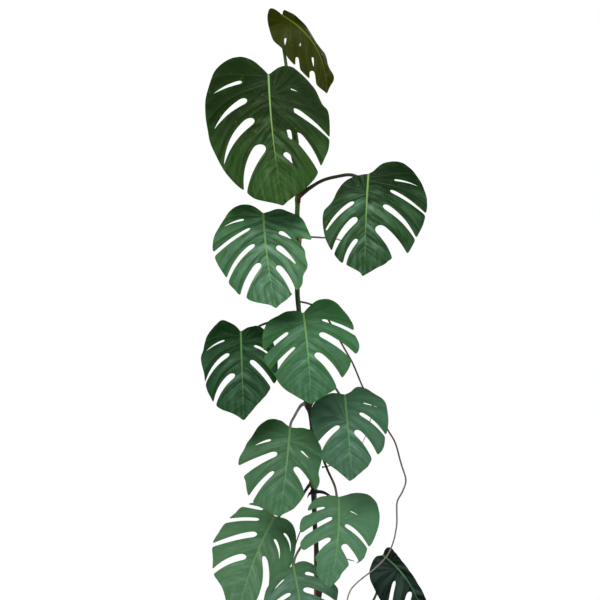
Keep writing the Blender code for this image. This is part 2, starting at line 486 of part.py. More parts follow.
def blade_net(blade):
    """Flat triangles of a blade: points in shares of its length, and triangles."""
    length = blade_length(blade)
    tip = (100, blade.get("tip_across", 0))
    halves = [smooth_curve(np.array([(0, 0), *blade[half], tip]) / 100, 6) for half in ("left", "right")]
    left, right = (even_steps(half, BLADE_STEP / length) for half in halves)
    margin = np.vstack([left, right[-2:0:-1]])
    slits = [slit_polygon(slit, SLIT_STEPS) for slit in blade["slits"]]
    step = BLADE_INNER_STEP / length
    low, high = margin.min(axis=0), margin.max(axis=0)
    grid = np.array([
        (low[0] + row * step * 0.87, low[1] + (column + 0.5 * (row % 2)) * step)
        for row in range(int((high[0] - low[0]) / step / 0.87) + 2)
        for column in range(int((high[1] - low[1]) / step) + 2)
    ])
    keep = inside(grid, margin)
    for loop in [margin, *slits]:
        middle = (loop + np.roll(loop, -1, axis=0)) / 2
        near = np.linalg.norm(grid[:, None] - np.vstack([loop, middle])[None], axis=2).min(axis=1)
        keep &= near > 0.45 * step
    turns = np.arange(8) * math.pi / 4
    seat = stalk_seat(blade) + SEAT_RADIUS / length * np.stack([np.cos(turns), np.sin(turns)], axis=1)
    grid = np.vstack([grid[keep], seat[inside(seat, margin)]])
    points, edges = [], []
    for loop in [margin, *slits]:
        first = len(points)
        points += [Vector(p) for p in loop]
        edges += [(first + k, first + (k + 1) % len(loop)) for k in range(len(loop))]
    points += [Vector(p) for p in grid]
    net, _, triangles, *_ = delaunay_2d_cdt(points, edges, [], 0, 1e-6, False)
    net, triangles = np.array([tuple(p) for p in net]), np.array([tuple(t) for t in triangles])
    centres = net[triangles].mean(axis=1)
    keep = inside(centres, margin)
    for slit in slits:
        keep &= ~inside(centres, slit)
    return net, largest_piece(triangles[keep])


def stalk_seat(blade):
    """Where the stalk meets the blade, in shares of the blade's length."""
    return np.array([[0.025, blade["bend"] * 0.1]])


def largest_piece(triangles):
    """The biggest set of triangles that are joined by edges."""
    owner = np.arange(len(triangles))
    edge_of = {}
    for index, triangle in enumerate(triangles):
        for a, b in zip(triangle, np.roll(triangle, -1)):
            edge_of.setdefault((min(a, b), max(a, b)), []).append(index)
    changed = True
    while changed:
        changed = False
        for pair in edge_of.values():
            lowest = min(owner[k] for k in pair)
            for k in pair:
                if owner[k] != lowest:
                    owner[k] = lowest
                    changed = True
    names, counts = np.unique(owner, return_counts=True)
    return triangles[owner == names[counts.argmax()]]


def make_blade(number, blade):
    net, triangles = blade_net(blade)
    used, triangles = np.unique(triangles, return_inverse=True)
    net, triangles = net[used], triangles.reshape(-1, 3)
    along, across = net[:, 0], net[:, 1]
    middle, normal = blade_point(blade, along, across), blade_normal(blade, along, across)
    count = len(net)
    vertices = np.vstack([middle + normal * BLADE_THICKNESS / 2, middle - normal * BLADE_THICKNESS / 2])
    faces = [tuple(t) for t in triangles] + [tuple(t[::-1] + count) for t in triangles]
    sides = {}
    for triangle in triangles:
        for a, b in zip(triangle, np.roll(triangle, -1)):
            sides[(a, b)] = (b, a) not in sides
            if (b, a) in sides:
                sides[(b, a)] = False
    faces += [(b, a, a + count, b + count) for (a, b), rim in sides.items() if rim]
    return mesh_object(f"leaf_{number}", vertices, faces, "blade")


def stalk_curve(number, blade):
    """Centre line of a stalk, which ends square on the back of its blade, and the way that the back faces."""
    joint = stalk_seat(blade).T
    back = -blade_normal(blade, *joint)[0]
    end = blade_point(blade, *joint)[0] + back * (BLADE_THICKNESS / 2 + GAP)
    return smooth_curve(STALKS[number] + [tuple(end + back * STALK_APPROACH), tuple(end)], 3), back


def make_stalk(number, blade, stem_cutter):
    """Leaf stalk: thick at the stem and thin from a quarter of its length on.

    One that leaves the stem sideways starts narrow at the stem's middle, so that none of it shows on the far side.
    """
    curve, back = stalk_curve(number, blade)
    share = np.linspace(0, 1, len(curve))
    radii = STALK_RADIUS + (STALK_BASE_RADIUS - STALK_RADIUS) * np.clip(1 - share / 0.25, 0, 1) ** 1.5
    radii = radii * STALK_GROWTH.get(number, 1)
    leaving = curve[1] - curve[0]
    if leaving[2] < 0.9 * np.linalg.norm(leaving):
        radii[0] = 0.5 * stem_radius(curve[0, 2])
    stalk = tube(f"leaf_stalk_{number}", curve, radii, STALK_SIDES, "stalk", last_way=-back)
    boolean(stalk, stem_cutter)


def make_pot():
    inner_rim, inner_base = POT_RIM_RADIUS - RIM_OUT - POT_WALL, POT_BASE_RADIUS - POT_WALL
    profile = [
        (0, 0), (POT_BASE_RADIUS - 0.004, 0), (POT_BASE_RADIUS, 0.004),
        (POT_RIM_RADIUS - RIM_OUT, POT_HEIGHT - RIM_HEIGHT), (POT_RIM_RADIUS, POT_HEIGHT - RIM_HEIGHT + 0.002),
        (POT_RIM_RADIUS, POT_HEIGHT - 0.003), (POT_RIM_RADIUS - 0.003, POT_HEIGHT),
        (inner_rim + 0.0015, POT_HEIGHT), (inner_rim, POT_HEIGHT - 0.002), (inner_base, POT_FLOOR), (0, POT_FLOOR),
    ]
    pot = lathe("pot", profile, POT_SIDES, "pot")
    for k in range(DRAIN_COUNT):
        turn = 2 * math.pi * (k + 0.5) / DRAIN_COUNT
        centre = DRAIN_CIRCLE * math.cos(turn), DRAIN_CIRCLE * math.sin(turn)
        hole = disc_prism(f"cut_drain_{k + 1}", centre, DRAIN_RADIUS, -0.01, POT_FLOOR + 0.01, 12, "pot", True)
        boolean(pot, hole)


def pot_inside(height):
    """Inner radius of the pot's wall at a height."""
    low, high = POT_BASE_RADIUS - POT_WALL, POT_RIM_RADIUS - RIM_OUT - POT_WALL
    return low + (high - low) * (height - POT_FLOOR) / (POT_HEIGHT - 0.002 - POT_FLOOR)


def make_soil(cutters):
    facet = math.cos(math.pi / POT_SIDES)
    low, edge = POT_FLOOR + GAP, SOIL_TOP
    profile = [
        (0, low), ((pot_inside(low) - GAP) * facet, low), ((pot_inside(edge) - GAP) * facet, edge),
        (0.09, edge + SOIL_MOUND * 0.5), (0.05, edge + SOIL_MOUND * 0.8), (0, edge + SOIL_MOUND),
    ]
    soil = lathe("soil", profile, POT_SIDES, "soil")
    for cutter in cutters:
        boolean(soil, cutter)


def make_tie(stem_curve):
    """Soft strap round stem and cane, with one free tail."""
    stem_at = stem_curve[np.argmin(abs(stem_curve[:, 2] - TIE_Z)), :2]
    circles = [(stem_at, stem_radius(TIE_Z)), (np.array([CANE_X, cane_y()]), CANE_RADIUS)]
    turns = np.arange(0, 2 * math.pi, math.pi / 12)
    directions = np.stack([np.cos(turns), np.sin(turns)], axis=1)
    farthest = [max(circles, key=lambda circle: circle[0] @ d + circle[1]) for d in directions]
    inner, outer = (
        np.array([centre + d * (radius + extra) for (centre, radius), d in zip(farthest, directions)])
        for extra in (TIE_SLACK, TIE_SLACK + TIE_THICKNESS)
    )
    count = len(turns)
    low, high = TIE_Z - TIE_HEIGHT / 2, TIE_Z + TIE_HEIGHT / 2
    vertices = [(*p, z) for z in (low, high) for loop in (inner, outer) for p in loop]
    faces = []
    for k in range(count):
        n = (k + 1) % count
        faces += [
            (k, n, n + count, k + count), (k + 2 * count, n + 2 * count, n + 3 * count, k + 3 * count),
            (k, n, n + 2 * count, k + 2 * count), (k + count, n + count, n + 3 * count, k + 3 * count),
        ]
    strap = mesh_object("tie", vertices, faces, "tie")
    front = np.array([stem_at[0], stem_at[1] - stem_radius(TIE_Z) - TIE_SLACK - TIE_THICKNESS / 2, TIE_Z])
    tail = ribbon("tie_tail", smooth_curve(front + np.array(TIE_TAIL), 4))
    boolean(strap, tail, "UNION")


def ribbon(name, line):
    """Upright strip of strap along a line, narrower at its end."""
    across = np.array([0, TIE_THICKNESS / 2, 0])
    up = np.array([0, 0, TIE_HEIGHT / 2])
    vertices = []
    for share, p in zip(np.linspace(0, 1, len(line)), line):
        rise = up * (0.92 - 0.45 * share**2)
        vertices += [p - across - rise, p + across - rise, p + across + rise, p - across + rise]
    faces = [(0, 1, 2, 3), tuple(range(len(vertices) - 4, len(vertices)))[::-1]]
    for a in range(0, len(vertices) - 4, 4):
        faces += [(a + k, a + (k + 1) % 4, a + (k + 1) % 4 + 4, a + k + 4) for k in range(4)]
    return mesh_object(name, vertices, faces, "tie", helper=True)


def make_clip():
    """Short wire clip with a bulb at its left end, across the front of one leaf's stalk."""
    curve, _ = stalk_curve(CLIP_STALK, BLADES[CLIP_STALK])
    curve = even_steps(curve, 0.002)
    k = int(np.argmin(abs(curve[:, 2] - CLIP_Z)))
    front = np.cross(curve[k + 1] - curve[k - 1], (1, 0, 0))
    front *= -np.sign(front[1]) / np.linalg.norm(front)
    at = curve[k] + front * (STALK_RADIUS + CLIP_RADIUS + GAP)
    half = np.array(CLIP_HALF)
    line = smooth_curve([at - half, at, at + half], 3)
    radii = CLIP_RADIUS * (1 + 0.8 * np.clip(1 - np.arange(len(line)) / 2, 0, 1))
    tube("clip", line, radii, 8, "clip")


def cane_y():
    return STEM_BASE_RADIUS + CANE_RADIUS + CANE_CLEARANCE


def stem_radius(height):
    bottom, top = STEM_LINE[0][2], STEM_LINE[-1][2]
    share = (height - bottom) / (top - bottom)
    return STEM_BASE_RADIUS + (STEM_TOP_RADIUS - STEM_BASE_RADIUS) * share**0.7


def main():
    for old in list(bpy.data.objects):
        bpy.data.objects.remove(old, do_unlink=True)
    bpy.context.scene.unit_settings.scale_length = 1.0

    stem_curve = smooth_curve(STEM_LINE, 2)
    radii = np.array([stem_radius(z) for z in stem_curve[:, 2]])
    tube("stem", stem_curve, radii, STEM_SIDES, "stem")
    longer = np.vstack([stem_curve[:1] - (0, 0, GAP), stem_curve, stem_curve[-1:] + (0, 0, GAP)])
    wider = np.r_[radii[0], radii, radii[-1]] + GAP
    stem_cutter = tube("cut_stem", longer, wider, STEM_SIDES, "stem", helper=True)

    make_pot()
    cane_bottom = SOIL_TOP - CANE_DEPTH
    cane_at = (CANE_X, cane_y())
    disc_prism("cane", cane_at, CANE_RADIUS, cane_bottom, CANE_TOP, CANE_SIDES, "cane")
    cutters = [
        stem_cutter,
        disc_prism("cut_cane", cane_at, CANE_RADIUS + GAP, cane_bottom - GAP, POT_HEIGHT, CANE_SIDES, "cane", True),
    ]
    roots = {}
    for name, (radius, route) in ROOTS.items():
        curve = smooth_curve(route, 2)
        thickness = radius * (1 - 0.35 * np.linspace(0, 1, len(curve)))
        roots[name] = tube(name, curve, thickness, ROOT_SIDES, "root")
        if name != BRANCH:
            boolean(roots[name], stem_cutter)
        if name in SOIL_ROOTS:
            deeper = np.vstack([curve, curve[-1:] - (0, 0, GAP)])
            wider = np.r_[thickness, thickness[-1]] + GAP
            cutters.append(tube(f"cut_{name}", deeper, wider, ROOT_SIDES, "root", True))
    boolean(roots[BRANCH], bpy.data.objects[f"cut_{BRANCHED_FROM}"])
    make_soil(cutters)
    for number, blade in BLADES.items():
        make_blade(number, blade)
        make_stalk(number, blade, stem_cutter)
    make_tie(stem_curve)
    make_clip()


main()
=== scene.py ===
"""Looks of a potted monstera that climbs a cane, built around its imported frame.

Metres, +Z up, the leaves face -Y. Blade outlines are in hundredths of the blade's length: (along, across),
where along runs from the junction with the leaf stalk to the tip and across runs towards the blade's +X side.
They are laid out on the plane y = 0 as they look from SIGHT, where the camera stands, and each point then
moves along its line of sight to its depth.
"""

import math
import random

import bmesh
import bpy
import numpy as np
from mathutils import Euler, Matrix, Vector, kdtree, noise
from mathutils.geometry import delaunay_2d_cdt

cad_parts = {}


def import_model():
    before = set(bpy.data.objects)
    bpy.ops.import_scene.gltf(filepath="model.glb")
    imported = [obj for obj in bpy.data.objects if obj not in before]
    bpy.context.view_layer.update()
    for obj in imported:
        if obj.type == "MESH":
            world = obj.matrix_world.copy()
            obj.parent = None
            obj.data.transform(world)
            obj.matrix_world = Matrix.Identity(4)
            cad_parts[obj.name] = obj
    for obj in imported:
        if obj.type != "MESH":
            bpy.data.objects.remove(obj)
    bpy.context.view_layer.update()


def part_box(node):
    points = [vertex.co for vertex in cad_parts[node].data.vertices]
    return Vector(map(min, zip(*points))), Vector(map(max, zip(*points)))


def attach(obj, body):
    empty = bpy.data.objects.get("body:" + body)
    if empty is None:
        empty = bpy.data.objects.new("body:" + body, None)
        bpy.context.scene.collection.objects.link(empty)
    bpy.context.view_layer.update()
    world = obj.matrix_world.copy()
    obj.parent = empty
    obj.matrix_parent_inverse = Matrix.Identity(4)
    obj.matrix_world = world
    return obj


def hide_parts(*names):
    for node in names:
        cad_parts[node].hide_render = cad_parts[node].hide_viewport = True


# Camera: where it stands, and the width of the picture at the plant's own plane
SIGHT = np.array([-0.036, -4.2, 1.24])
PICTURE_WIDTH = 1.56
SENSOR = 36.0

# Leaves. The shortest slit that guides a vein and the veins' spacing at the tip are shares of the length,
# the basal angle is in radians, rows of the net lie that many steps apart, a loop of fewer points than the
# smallest is left out, and ribs have these radii on a blade of the usual length.
BLADE_THICKNESS = 0.0009
LEAF_MESH = 0.0036
ROW_SPACING = 0.87
MARGIN_STEP = 0.005
OUTLINE_STEP = 0.0026
CORNER_ROUNDING = 5
SMALLEST_LOOP = 8
SHORTEST_SLIT = 0.13
BASAL_VEIN_ANGLE = 0.52
TIP_VEIN_SPACING = 0.155
CREASE = 0.02
PLEAT = 0.0019
LOBE_SWAY = 0.010
GROOVE_DEPTH = 0.0007
GROOVE_WIDTH = 0.004
SWELL = 0.0012
RIB_RADIUS = 0.0026
VEIN_RADIUS = 0.0009
USUAL_LENGTH = 0.28

# Stalks, stem and roots. A stalk's joint swells near its end, and its approach is its last stretch.
STALK_SIDES = 14
STALK_RADIUS = 0.0033
STALK_GROWTH = {"01": 1.35, "03": 1.40, "08": 1.10}
STALK_BASE_RADIUS = 0.0056
STALK_APPROACH = 0.016
JOINT_DISTANCE = 0.030
STEM_BASE_RADIUS = 0.0058
STEM_TOP_RADIUS = 0.0064
STEM_FOOT = 0.165
BARE_NODES = [0.48, 0.55, 0.83]
ROOT_WOBBLE = 0.0009
SHEATH_THICKNESS = 0.0006

# Pot and soil. The foot's share is its radius against the rim's.
POT_SIDES = 96
POT_WALL = 0.0030
POT_FLOOR = 0.0035
POT_FOOT_SHARE = (0.112, 0.150)
RIM_HEIGHT = 0.022
RIM_OUT = 0.005
RING_DEPTH = 0.0007
RING_WIDTH = 0.003
DRAIN_COUNT = 8
DRAIN_CIRCLE = 0.078
DRAIN_RADIUS = 0.007
SOIL_STEP = 0.0042

# Chips on the soil: their number, and then how many and how large they are of bark, perlite and grit
CHIP_COUNT = 330
CHIP_SHARES = (5, 2, 4)
CHIP_SIZES = [(0.004, 0.0105), (0.0015, 0.0028), (0.002, 0.005)]

# Heights of the cane's nodes
CANE_NODES = [0.115, 0.29, 0.45, 0.615, 0.79]

# Tie: its free tails as points from the knot, the width and thickness of its strap, and its gap to the stem
TIE_TAILS = [
    [(0.004, 0, 0), (0.017, -0.001, 0.001), (0.030, -0.003, -0.002), (0.044, -0.004, -0.010)],
    [(-0.006, 0.001, -0.001), (-0.012, -0.002, -0.006), (-0.015, -0.004, -0.013)],
]
TIE_WIDTH = 0.0100
STRAP = 0.0013
STRAP_GAP = 0.0014
TAIL_STEP = 0.0014
KNOT_RADIUS = 0.0018

# Stage
FLOOR_RADIUS = 2.3
FLOOR_SIDES = 96

# Middle line of the stem
STEM_LINE = [
    (0.016, 0.0, STEM_FOOT), (0.016, 0.0, 0.26), (0.014, 0.0, 0.42), (0.012, 0.0, 0.53),
    (0.005, 0.0, 0.62), (-0.001, 0.0, 0.73), (-0.003, 0.0, 0.87), (-0.008, 0.0, 0.94),
    (-0.021, 0.0, 0.98), (-0.031, 0.0, 1.08), (-0.038, 0.0, 1.20), (-0.043, 0.0, 1.27),
    (-0.040, 0.0, 1.39), (-0.043, 0.0, 1.45), (-0.042, 0.0, 1.53), (-0.046, 0.0, 1.65),
]

# Each stalk runs from a node on the stem, through these points, to its blade.
STALKS = {
    "01": [(-0.0459, 0.0, 1.6480), (-0.057, 0.000, 1.740), (-0.0735, 0.000, 1.860), (-0.083, 0.000, 1.935)],
    "02": [(-0.043, 0.0, 1.560), (-0.058, -0.024, 1.620), (-0.086, -0.050, 1.720), (-0.108, -0.080, 1.785)],
    "03": [(-0.042, 0.0, 1.508), (-0.013, -0.012, 1.529), (0.023, -0.030, 1.549), (0.062, -0.046, 1.558),
           (0.096, -0.060, 1.5605)],
    "04": [(-0.040, 0.0, 1.392), (-0.056, -0.035, 1.405), (-0.086, -0.070, 1.430), (-0.116, -0.098, 1.450)],
    "05": [(-0.034, 0.0, 1.128), (-0.052, -0.022, 1.160), (-0.080, -0.030, 1.186), (-0.134, -0.032, 1.176)],
    "06": [(-0.030, 0.0, 1.068), (-0.028, -0.040, 1.095), (-0.027, -0.090, 1.155), (-0.027, -0.125, 1.195)],
    "07": [(-0.033, 0.0, 1.100), (-0.014, -0.030, 1.088), (0.012, -0.065, 1.063), (0.043, -0.100, 1.032)],
    "08": [(-0.019, 0.0, 0.972), (-0.034, -0.014, 0.966), (-0.050, -0.024, 0.940), (-0.060, -0.040, 0.921)],
    "09": [(-0.004, 0.0, 0.905), (0.012, -0.026, 0.860), (0.034, -0.062, 0.806), (0.053, -0.094, 0.765)],
    "10": [(-0.001, 0.0, 0.770), (-0.018, -0.012, 0.752), (-0.041, -0.010, 0.716), (-0.075, -0.004, 0.692)],
    "11": [(0.004, 0.0, 0.640), (-0.012, -0.040, 0.632), (-0.036, -0.078, 0.606), (-0.050, -0.096, 0.580)],
    "12": [(0.015, 0.0, 0.330), (0.080, 0.022, 0.372), (0.155, 0.036, 0.450), (0.182, 0.010, 0.550)],
}

# Aerial roots: radius and route.
ROOTS = {
    "aerial_root_long": (0.0026, [
        (-0.038, 0.0, 1.236), (-0.012, -0.012, 1.230), (0.022, -0.020, 1.212), (0.048, -0.022, 1.170),
        (0.073, -0.022, 1.124), (0.099, -0.020, 1.079), (0.128, -0.018, 1.012), (0.159, -0.016, 0.955),
        (0.192, -0.018, 0.903), (0.212, -0.020, 0.865), (0.226, -0.022, 0.815), (0.238, -0.025, 0.775),
        (0.229, -0.030, 0.746), (0.214, -0.036, 0.716), (0.213, -0.046, 0.661), (0.200, -0.060, 0.612),
        (0.181, -0.072, 0.580), (0.142, -0.082, 0.546), (0.107, -0.082, 0.517), (0.091, -0.076, 0.494),
        (0.083, -0.072, 0.462), (0.078, -0.066, 0.390), (0.082, -0.058, 0.300), (0.084, -0.056, 0.215),
    ]),
    "aerial_root_upper": (0.0028, [
        (-0.040, 0.0, 1.400), (-0.012, -0.010, 1.403), (0.020, -0.012, 1.402), (0.052, -0.010, 1.400),
        (0.078, -0.004, 1.392),
    ]),
    "aerial_root_middle": (0.0030, [
        (-0.020, 0.0, 0.978), (-0.008, -0.010, 0.984), (0.004, -0.014, 0.981),
    ]),
    "aerial_root_side": (0.0013, [
        (0.159, -0.016, 0.955), (0.146, -0.024, 0.930), (0.136, -0.026, 0.895), (0.124, -0.026, 0.868),
        (0.118, -0.025, 0.845),
    ]),
    "aerial_root_short": (0.0023, [
        (0.009, 0.0, 0.566), (0.045, -0.024, 0.572), (0.080, -0.040, 0.573), (0.104, -0.046, 0.569),
    ]),
    "aerial_root_left": (0.0017, [
        (0.0015, 0.0, 0.690), (-0.016, -0.022, 0.678), (-0.034, -0.034, 0.645), (-0.050, -0.038, 0.600),
        (-0.056, -0.040, 0.540), (-0.048, -0.042, 0.450), (-0.042, -0.044, 0.340), (-0.044, -0.044, 0.215),
    ]),
}
SOIL_ROOTS = ["aerial_root_long", "aerial_root_left"]

# Display colours, 0-255, with the light and shade that fall on each leaf painted in. base is near the
# junction, with the light and shade there painted in; sheen is a painted sheen along the side veins; fringe
# is at the margin.
# base_fade is the stretch of the blade over which base gives way, the colour of the -X half paints the light
# falling on that half, and streak is how strong the painted sheen is.
LEAF_COLORS = {
    "01": dict(blade=(36, 42, 2), base=(44, 50, 4), sheen=(52, 60, 10), rib=(78, 94, 18),
               fringe=(38, 48, 3), base_fade=(0.0, 0.4), streak=0.4),
    "02": dict(blade=(48, 80, 34), base=(14, 30, 2), sheen=(82, 116, 70), rib=(84, 122, 36),
               fringe=(24, 56, 6), base_fade=(0.3, 1.0)),
    "03": dict(blade=(44, 76, 42), base=(10, 30, 3), sheen=(96, 134, 106), rib=(100, 138, 56),
               fringe=(24, 58, 14), base_fade=(0.15, 0.5)),
    "04": dict(blade=(70, 112, 76), base=(24, 58, 16), sheen=(126, 168, 144), rib=(120, 172, 90),
               fringe=(58, 112, 38), base_fade=(-0.05, 0.3)),
    "05": dict(blade=(38, 76, 44), base=(14, 42, 12), sheen=(76, 116, 90), rib=(88, 136, 74),
               fringe=(30, 72, 26), base_fade=(0.0, 0.4)),
    "06": dict(blade=(60, 102, 68), base=(44, 86, 42), sheen=(96, 138, 114), rib=(108, 156, 76),
               fringe=(54, 108, 34), base_fade=(-0.1, 0.35)),
    "07": dict(blade=(66, 104, 78), base=(56, 98, 66), sheen=(108, 144, 124), rib=(100, 156, 92),
               fringe=(40, 82, 44), base_fade=(-0.1, 0.3)),
    "08": dict(blade=(76, 120, 84), base=(64, 108, 62), sheen=(116, 154, 126), rib=(120, 168, 106),
               fringe=(60, 112, 48), base_fade=(-0.1, 0.35)),
    "09": dict(blade=(80, 124, 90), base=(90, 130, 94), sheen=(116, 156, 128), rib=(116, 168, 98),
               fringe=(60, 112, 60), base_fade=(-0.1, 0.3)),
    "10": dict(blade=(78, 120, 82), base=(92, 136, 94), sheen=(120, 160, 132), rib=(122, 172, 104),
               fringe=(66, 120, 62), base_fade=(-0.1, 0.3)),
    "11": dict(blade=(82, 120, 96), base=(74, 112, 78), sheen=(130, 164, 150), rib=(114, 164, 96),
               fringe=(54, 102, 56), base_fade=(0.0, 0.35)),
    # Leaf 12 lies in shade: its near-black blade and base are painted shade, and its -X half gets painted
    # light.
    "12": dict(blade=(12, 20, 15), base=(7, 12, 9), sheen=(62, 88, 78), rib=(70, 112, 84),
               fringe=(24, 46, 28), base_fade=(0.0, 0.3), lit_left_half=(62, 84, 72)),
}
UNDER_COLORS = dict(blade=(92, 128, 80), base=(74, 108, 62), rib=(130, 160, 96))
# Underside of leaf 01, which faces the camera: its own colour with the backlight shining through it painted
# in as olive.
BACKLIT_UNDER_COLORS = dict(blade=(64, 74, 14), base=(40, 48, 6), rib=(92, 108, 30))

# Colours from one end of a piece to the other: (share of its length, display colour).
STALK_TINTS = {
    "other": [(0.0, (70, 60, 36)), (0.3, (72, 80, 40)), (0.85, (84, 112, 56)), (1.0, (110, 150, 70))],
    "01": [(0.0, (60, 84, 30)), (0.6, (86, 112, 40)), (1.0, (70, 90, 30))],
    "03": [(0.0, (120, 52, 30)), (0.08, (58, 44, 28)), (0.6, (52, 50, 30)), (0.9, (64, 76, 30)),
           (1.0, (96, 130, 50))],
    "05": [(0.0, (54, 34, 24)), (0.5, (60, 48, 34)), (0.9, (56, 70, 36)), (1.0, (90, 130, 60))],
    "07": [(0.0, (70, 58, 50)), (0.5, (110, 104, 100)), (1.0, (112, 130, 96))],
    "08": [(0.0, (110, 100, 96)), (0.3, (158, 152, 150)), (0.9, (148, 146, 140)), (1.0, (120, 146, 108))],
    "09": [(0.0, (48, 36, 28)), (0.4, (62, 50, 42)), (0.9, (116, 110, 104)), (1.0, (110, 150, 90))],
    "10": [(0.0, (50, 50, 48)), (0.6, (70, 76, 70)), (1.0, (96, 140, 84))],
    "11": [(0.0, (100, 78, 60)), (0.7, (124, 104, 84)), (1.0, (110, 130, 80))],
}
STEM_TINTS = [
    (0.0, (50, 42, 30)), (0.3, (38, 34, 24)), (0.5, (48, 42, 28)), (0.6, (60, 66, 32)),
    (0.72, (52, 76, 34)), (0.80, (64, 72, 36)), (0.83, (88, 70, 44)), (0.86, (84, 128, 58)),
    (0.91, (96, 134, 60)), (0.94, (60, 84, 36)), (1.0, (58, 84, 34)),
]
ROOT_TINTS = [(0.0, (98, 84, 80)), (0.35, (116, 100, 98)), (0.6, (150, 134, 130)), (0.8, (196, 184, 176)),
              (1.0, (206, 196, 188))]
CANE_TINTS = [(0.0, (120, 92, 56)), (0.35, (150, 118, 76)), (0.8, (172, 138, 92)), (1.0, (186, 154, 108))]

# Dry sheaths at the stem's nodes: the colours of foot and end, and then for each sheath its colour, height,
# direction in radians from +X, lean outwards, half width and length.
SHEATH_TINTS = {
    "red": ((92, 38, 24), (132, 66, 40)),
    "tan": ((92, 66, 40), (202, 184, 140)),
    "dark": ((44, 28, 20), (84, 52, 34)),
}
SHEATHS = [
    ("red", 1.494, -0.5, 0.007, 0.010, 0.030), ("tan", 1.378, -1.7, 0.006, 0.011, 0.028),
    ("tan", 1.092, -2.2, 0.008, 0.010, 0.026), ("dark", 0.956, -1.4, 0.010, 0.013, 0.030),
    ("red", 0.970, -0.4, 0.014, 0.010, 0.024), ("dark", 0.890, -1.0, 0.007, 0.010, 0.022),
    ("tan", 0.752, -2.3, 0.006, 0.010, 0.020), ("dark", 0.622, -1.8, 0.007, 0.010, 0.024),
    ("dark", 0.470, -0.9, 0.006, 0.011, 0.022), ("tan", 0.316, -0.4, 0.008, 0.011, 0.026),
]

# The world's light on the plant, and the lamps: name, place, target, size, energy, colour
WORLD_FILL = 0.12
LIGHTS = [
    ("key", (-1.3, -2.6, 3.6), (-0.05, -0.1, 1.2), (1.8, 1.8), 95.0, (1.0, 1.0, 0.99)),
    ("top", (0.5, -0.7, 3.7), (-0.05, -0.1, 1.2), (1.6, 1.2), 40.0, (0.97, 1.0, 1.0)),
    ("side", (2.8, -1.6, 1.6), (-0.05, -0.1, 1.1), (1.2, 2.4), 26.0, (1.0, 1.0, 1.0)),
    ("back", (-0.4, 2.8, 2.6), (-0.05, 0.0, 1.1), (2.4, 1.6), 40.0, (1.0, 1.0, 1.0)),
]

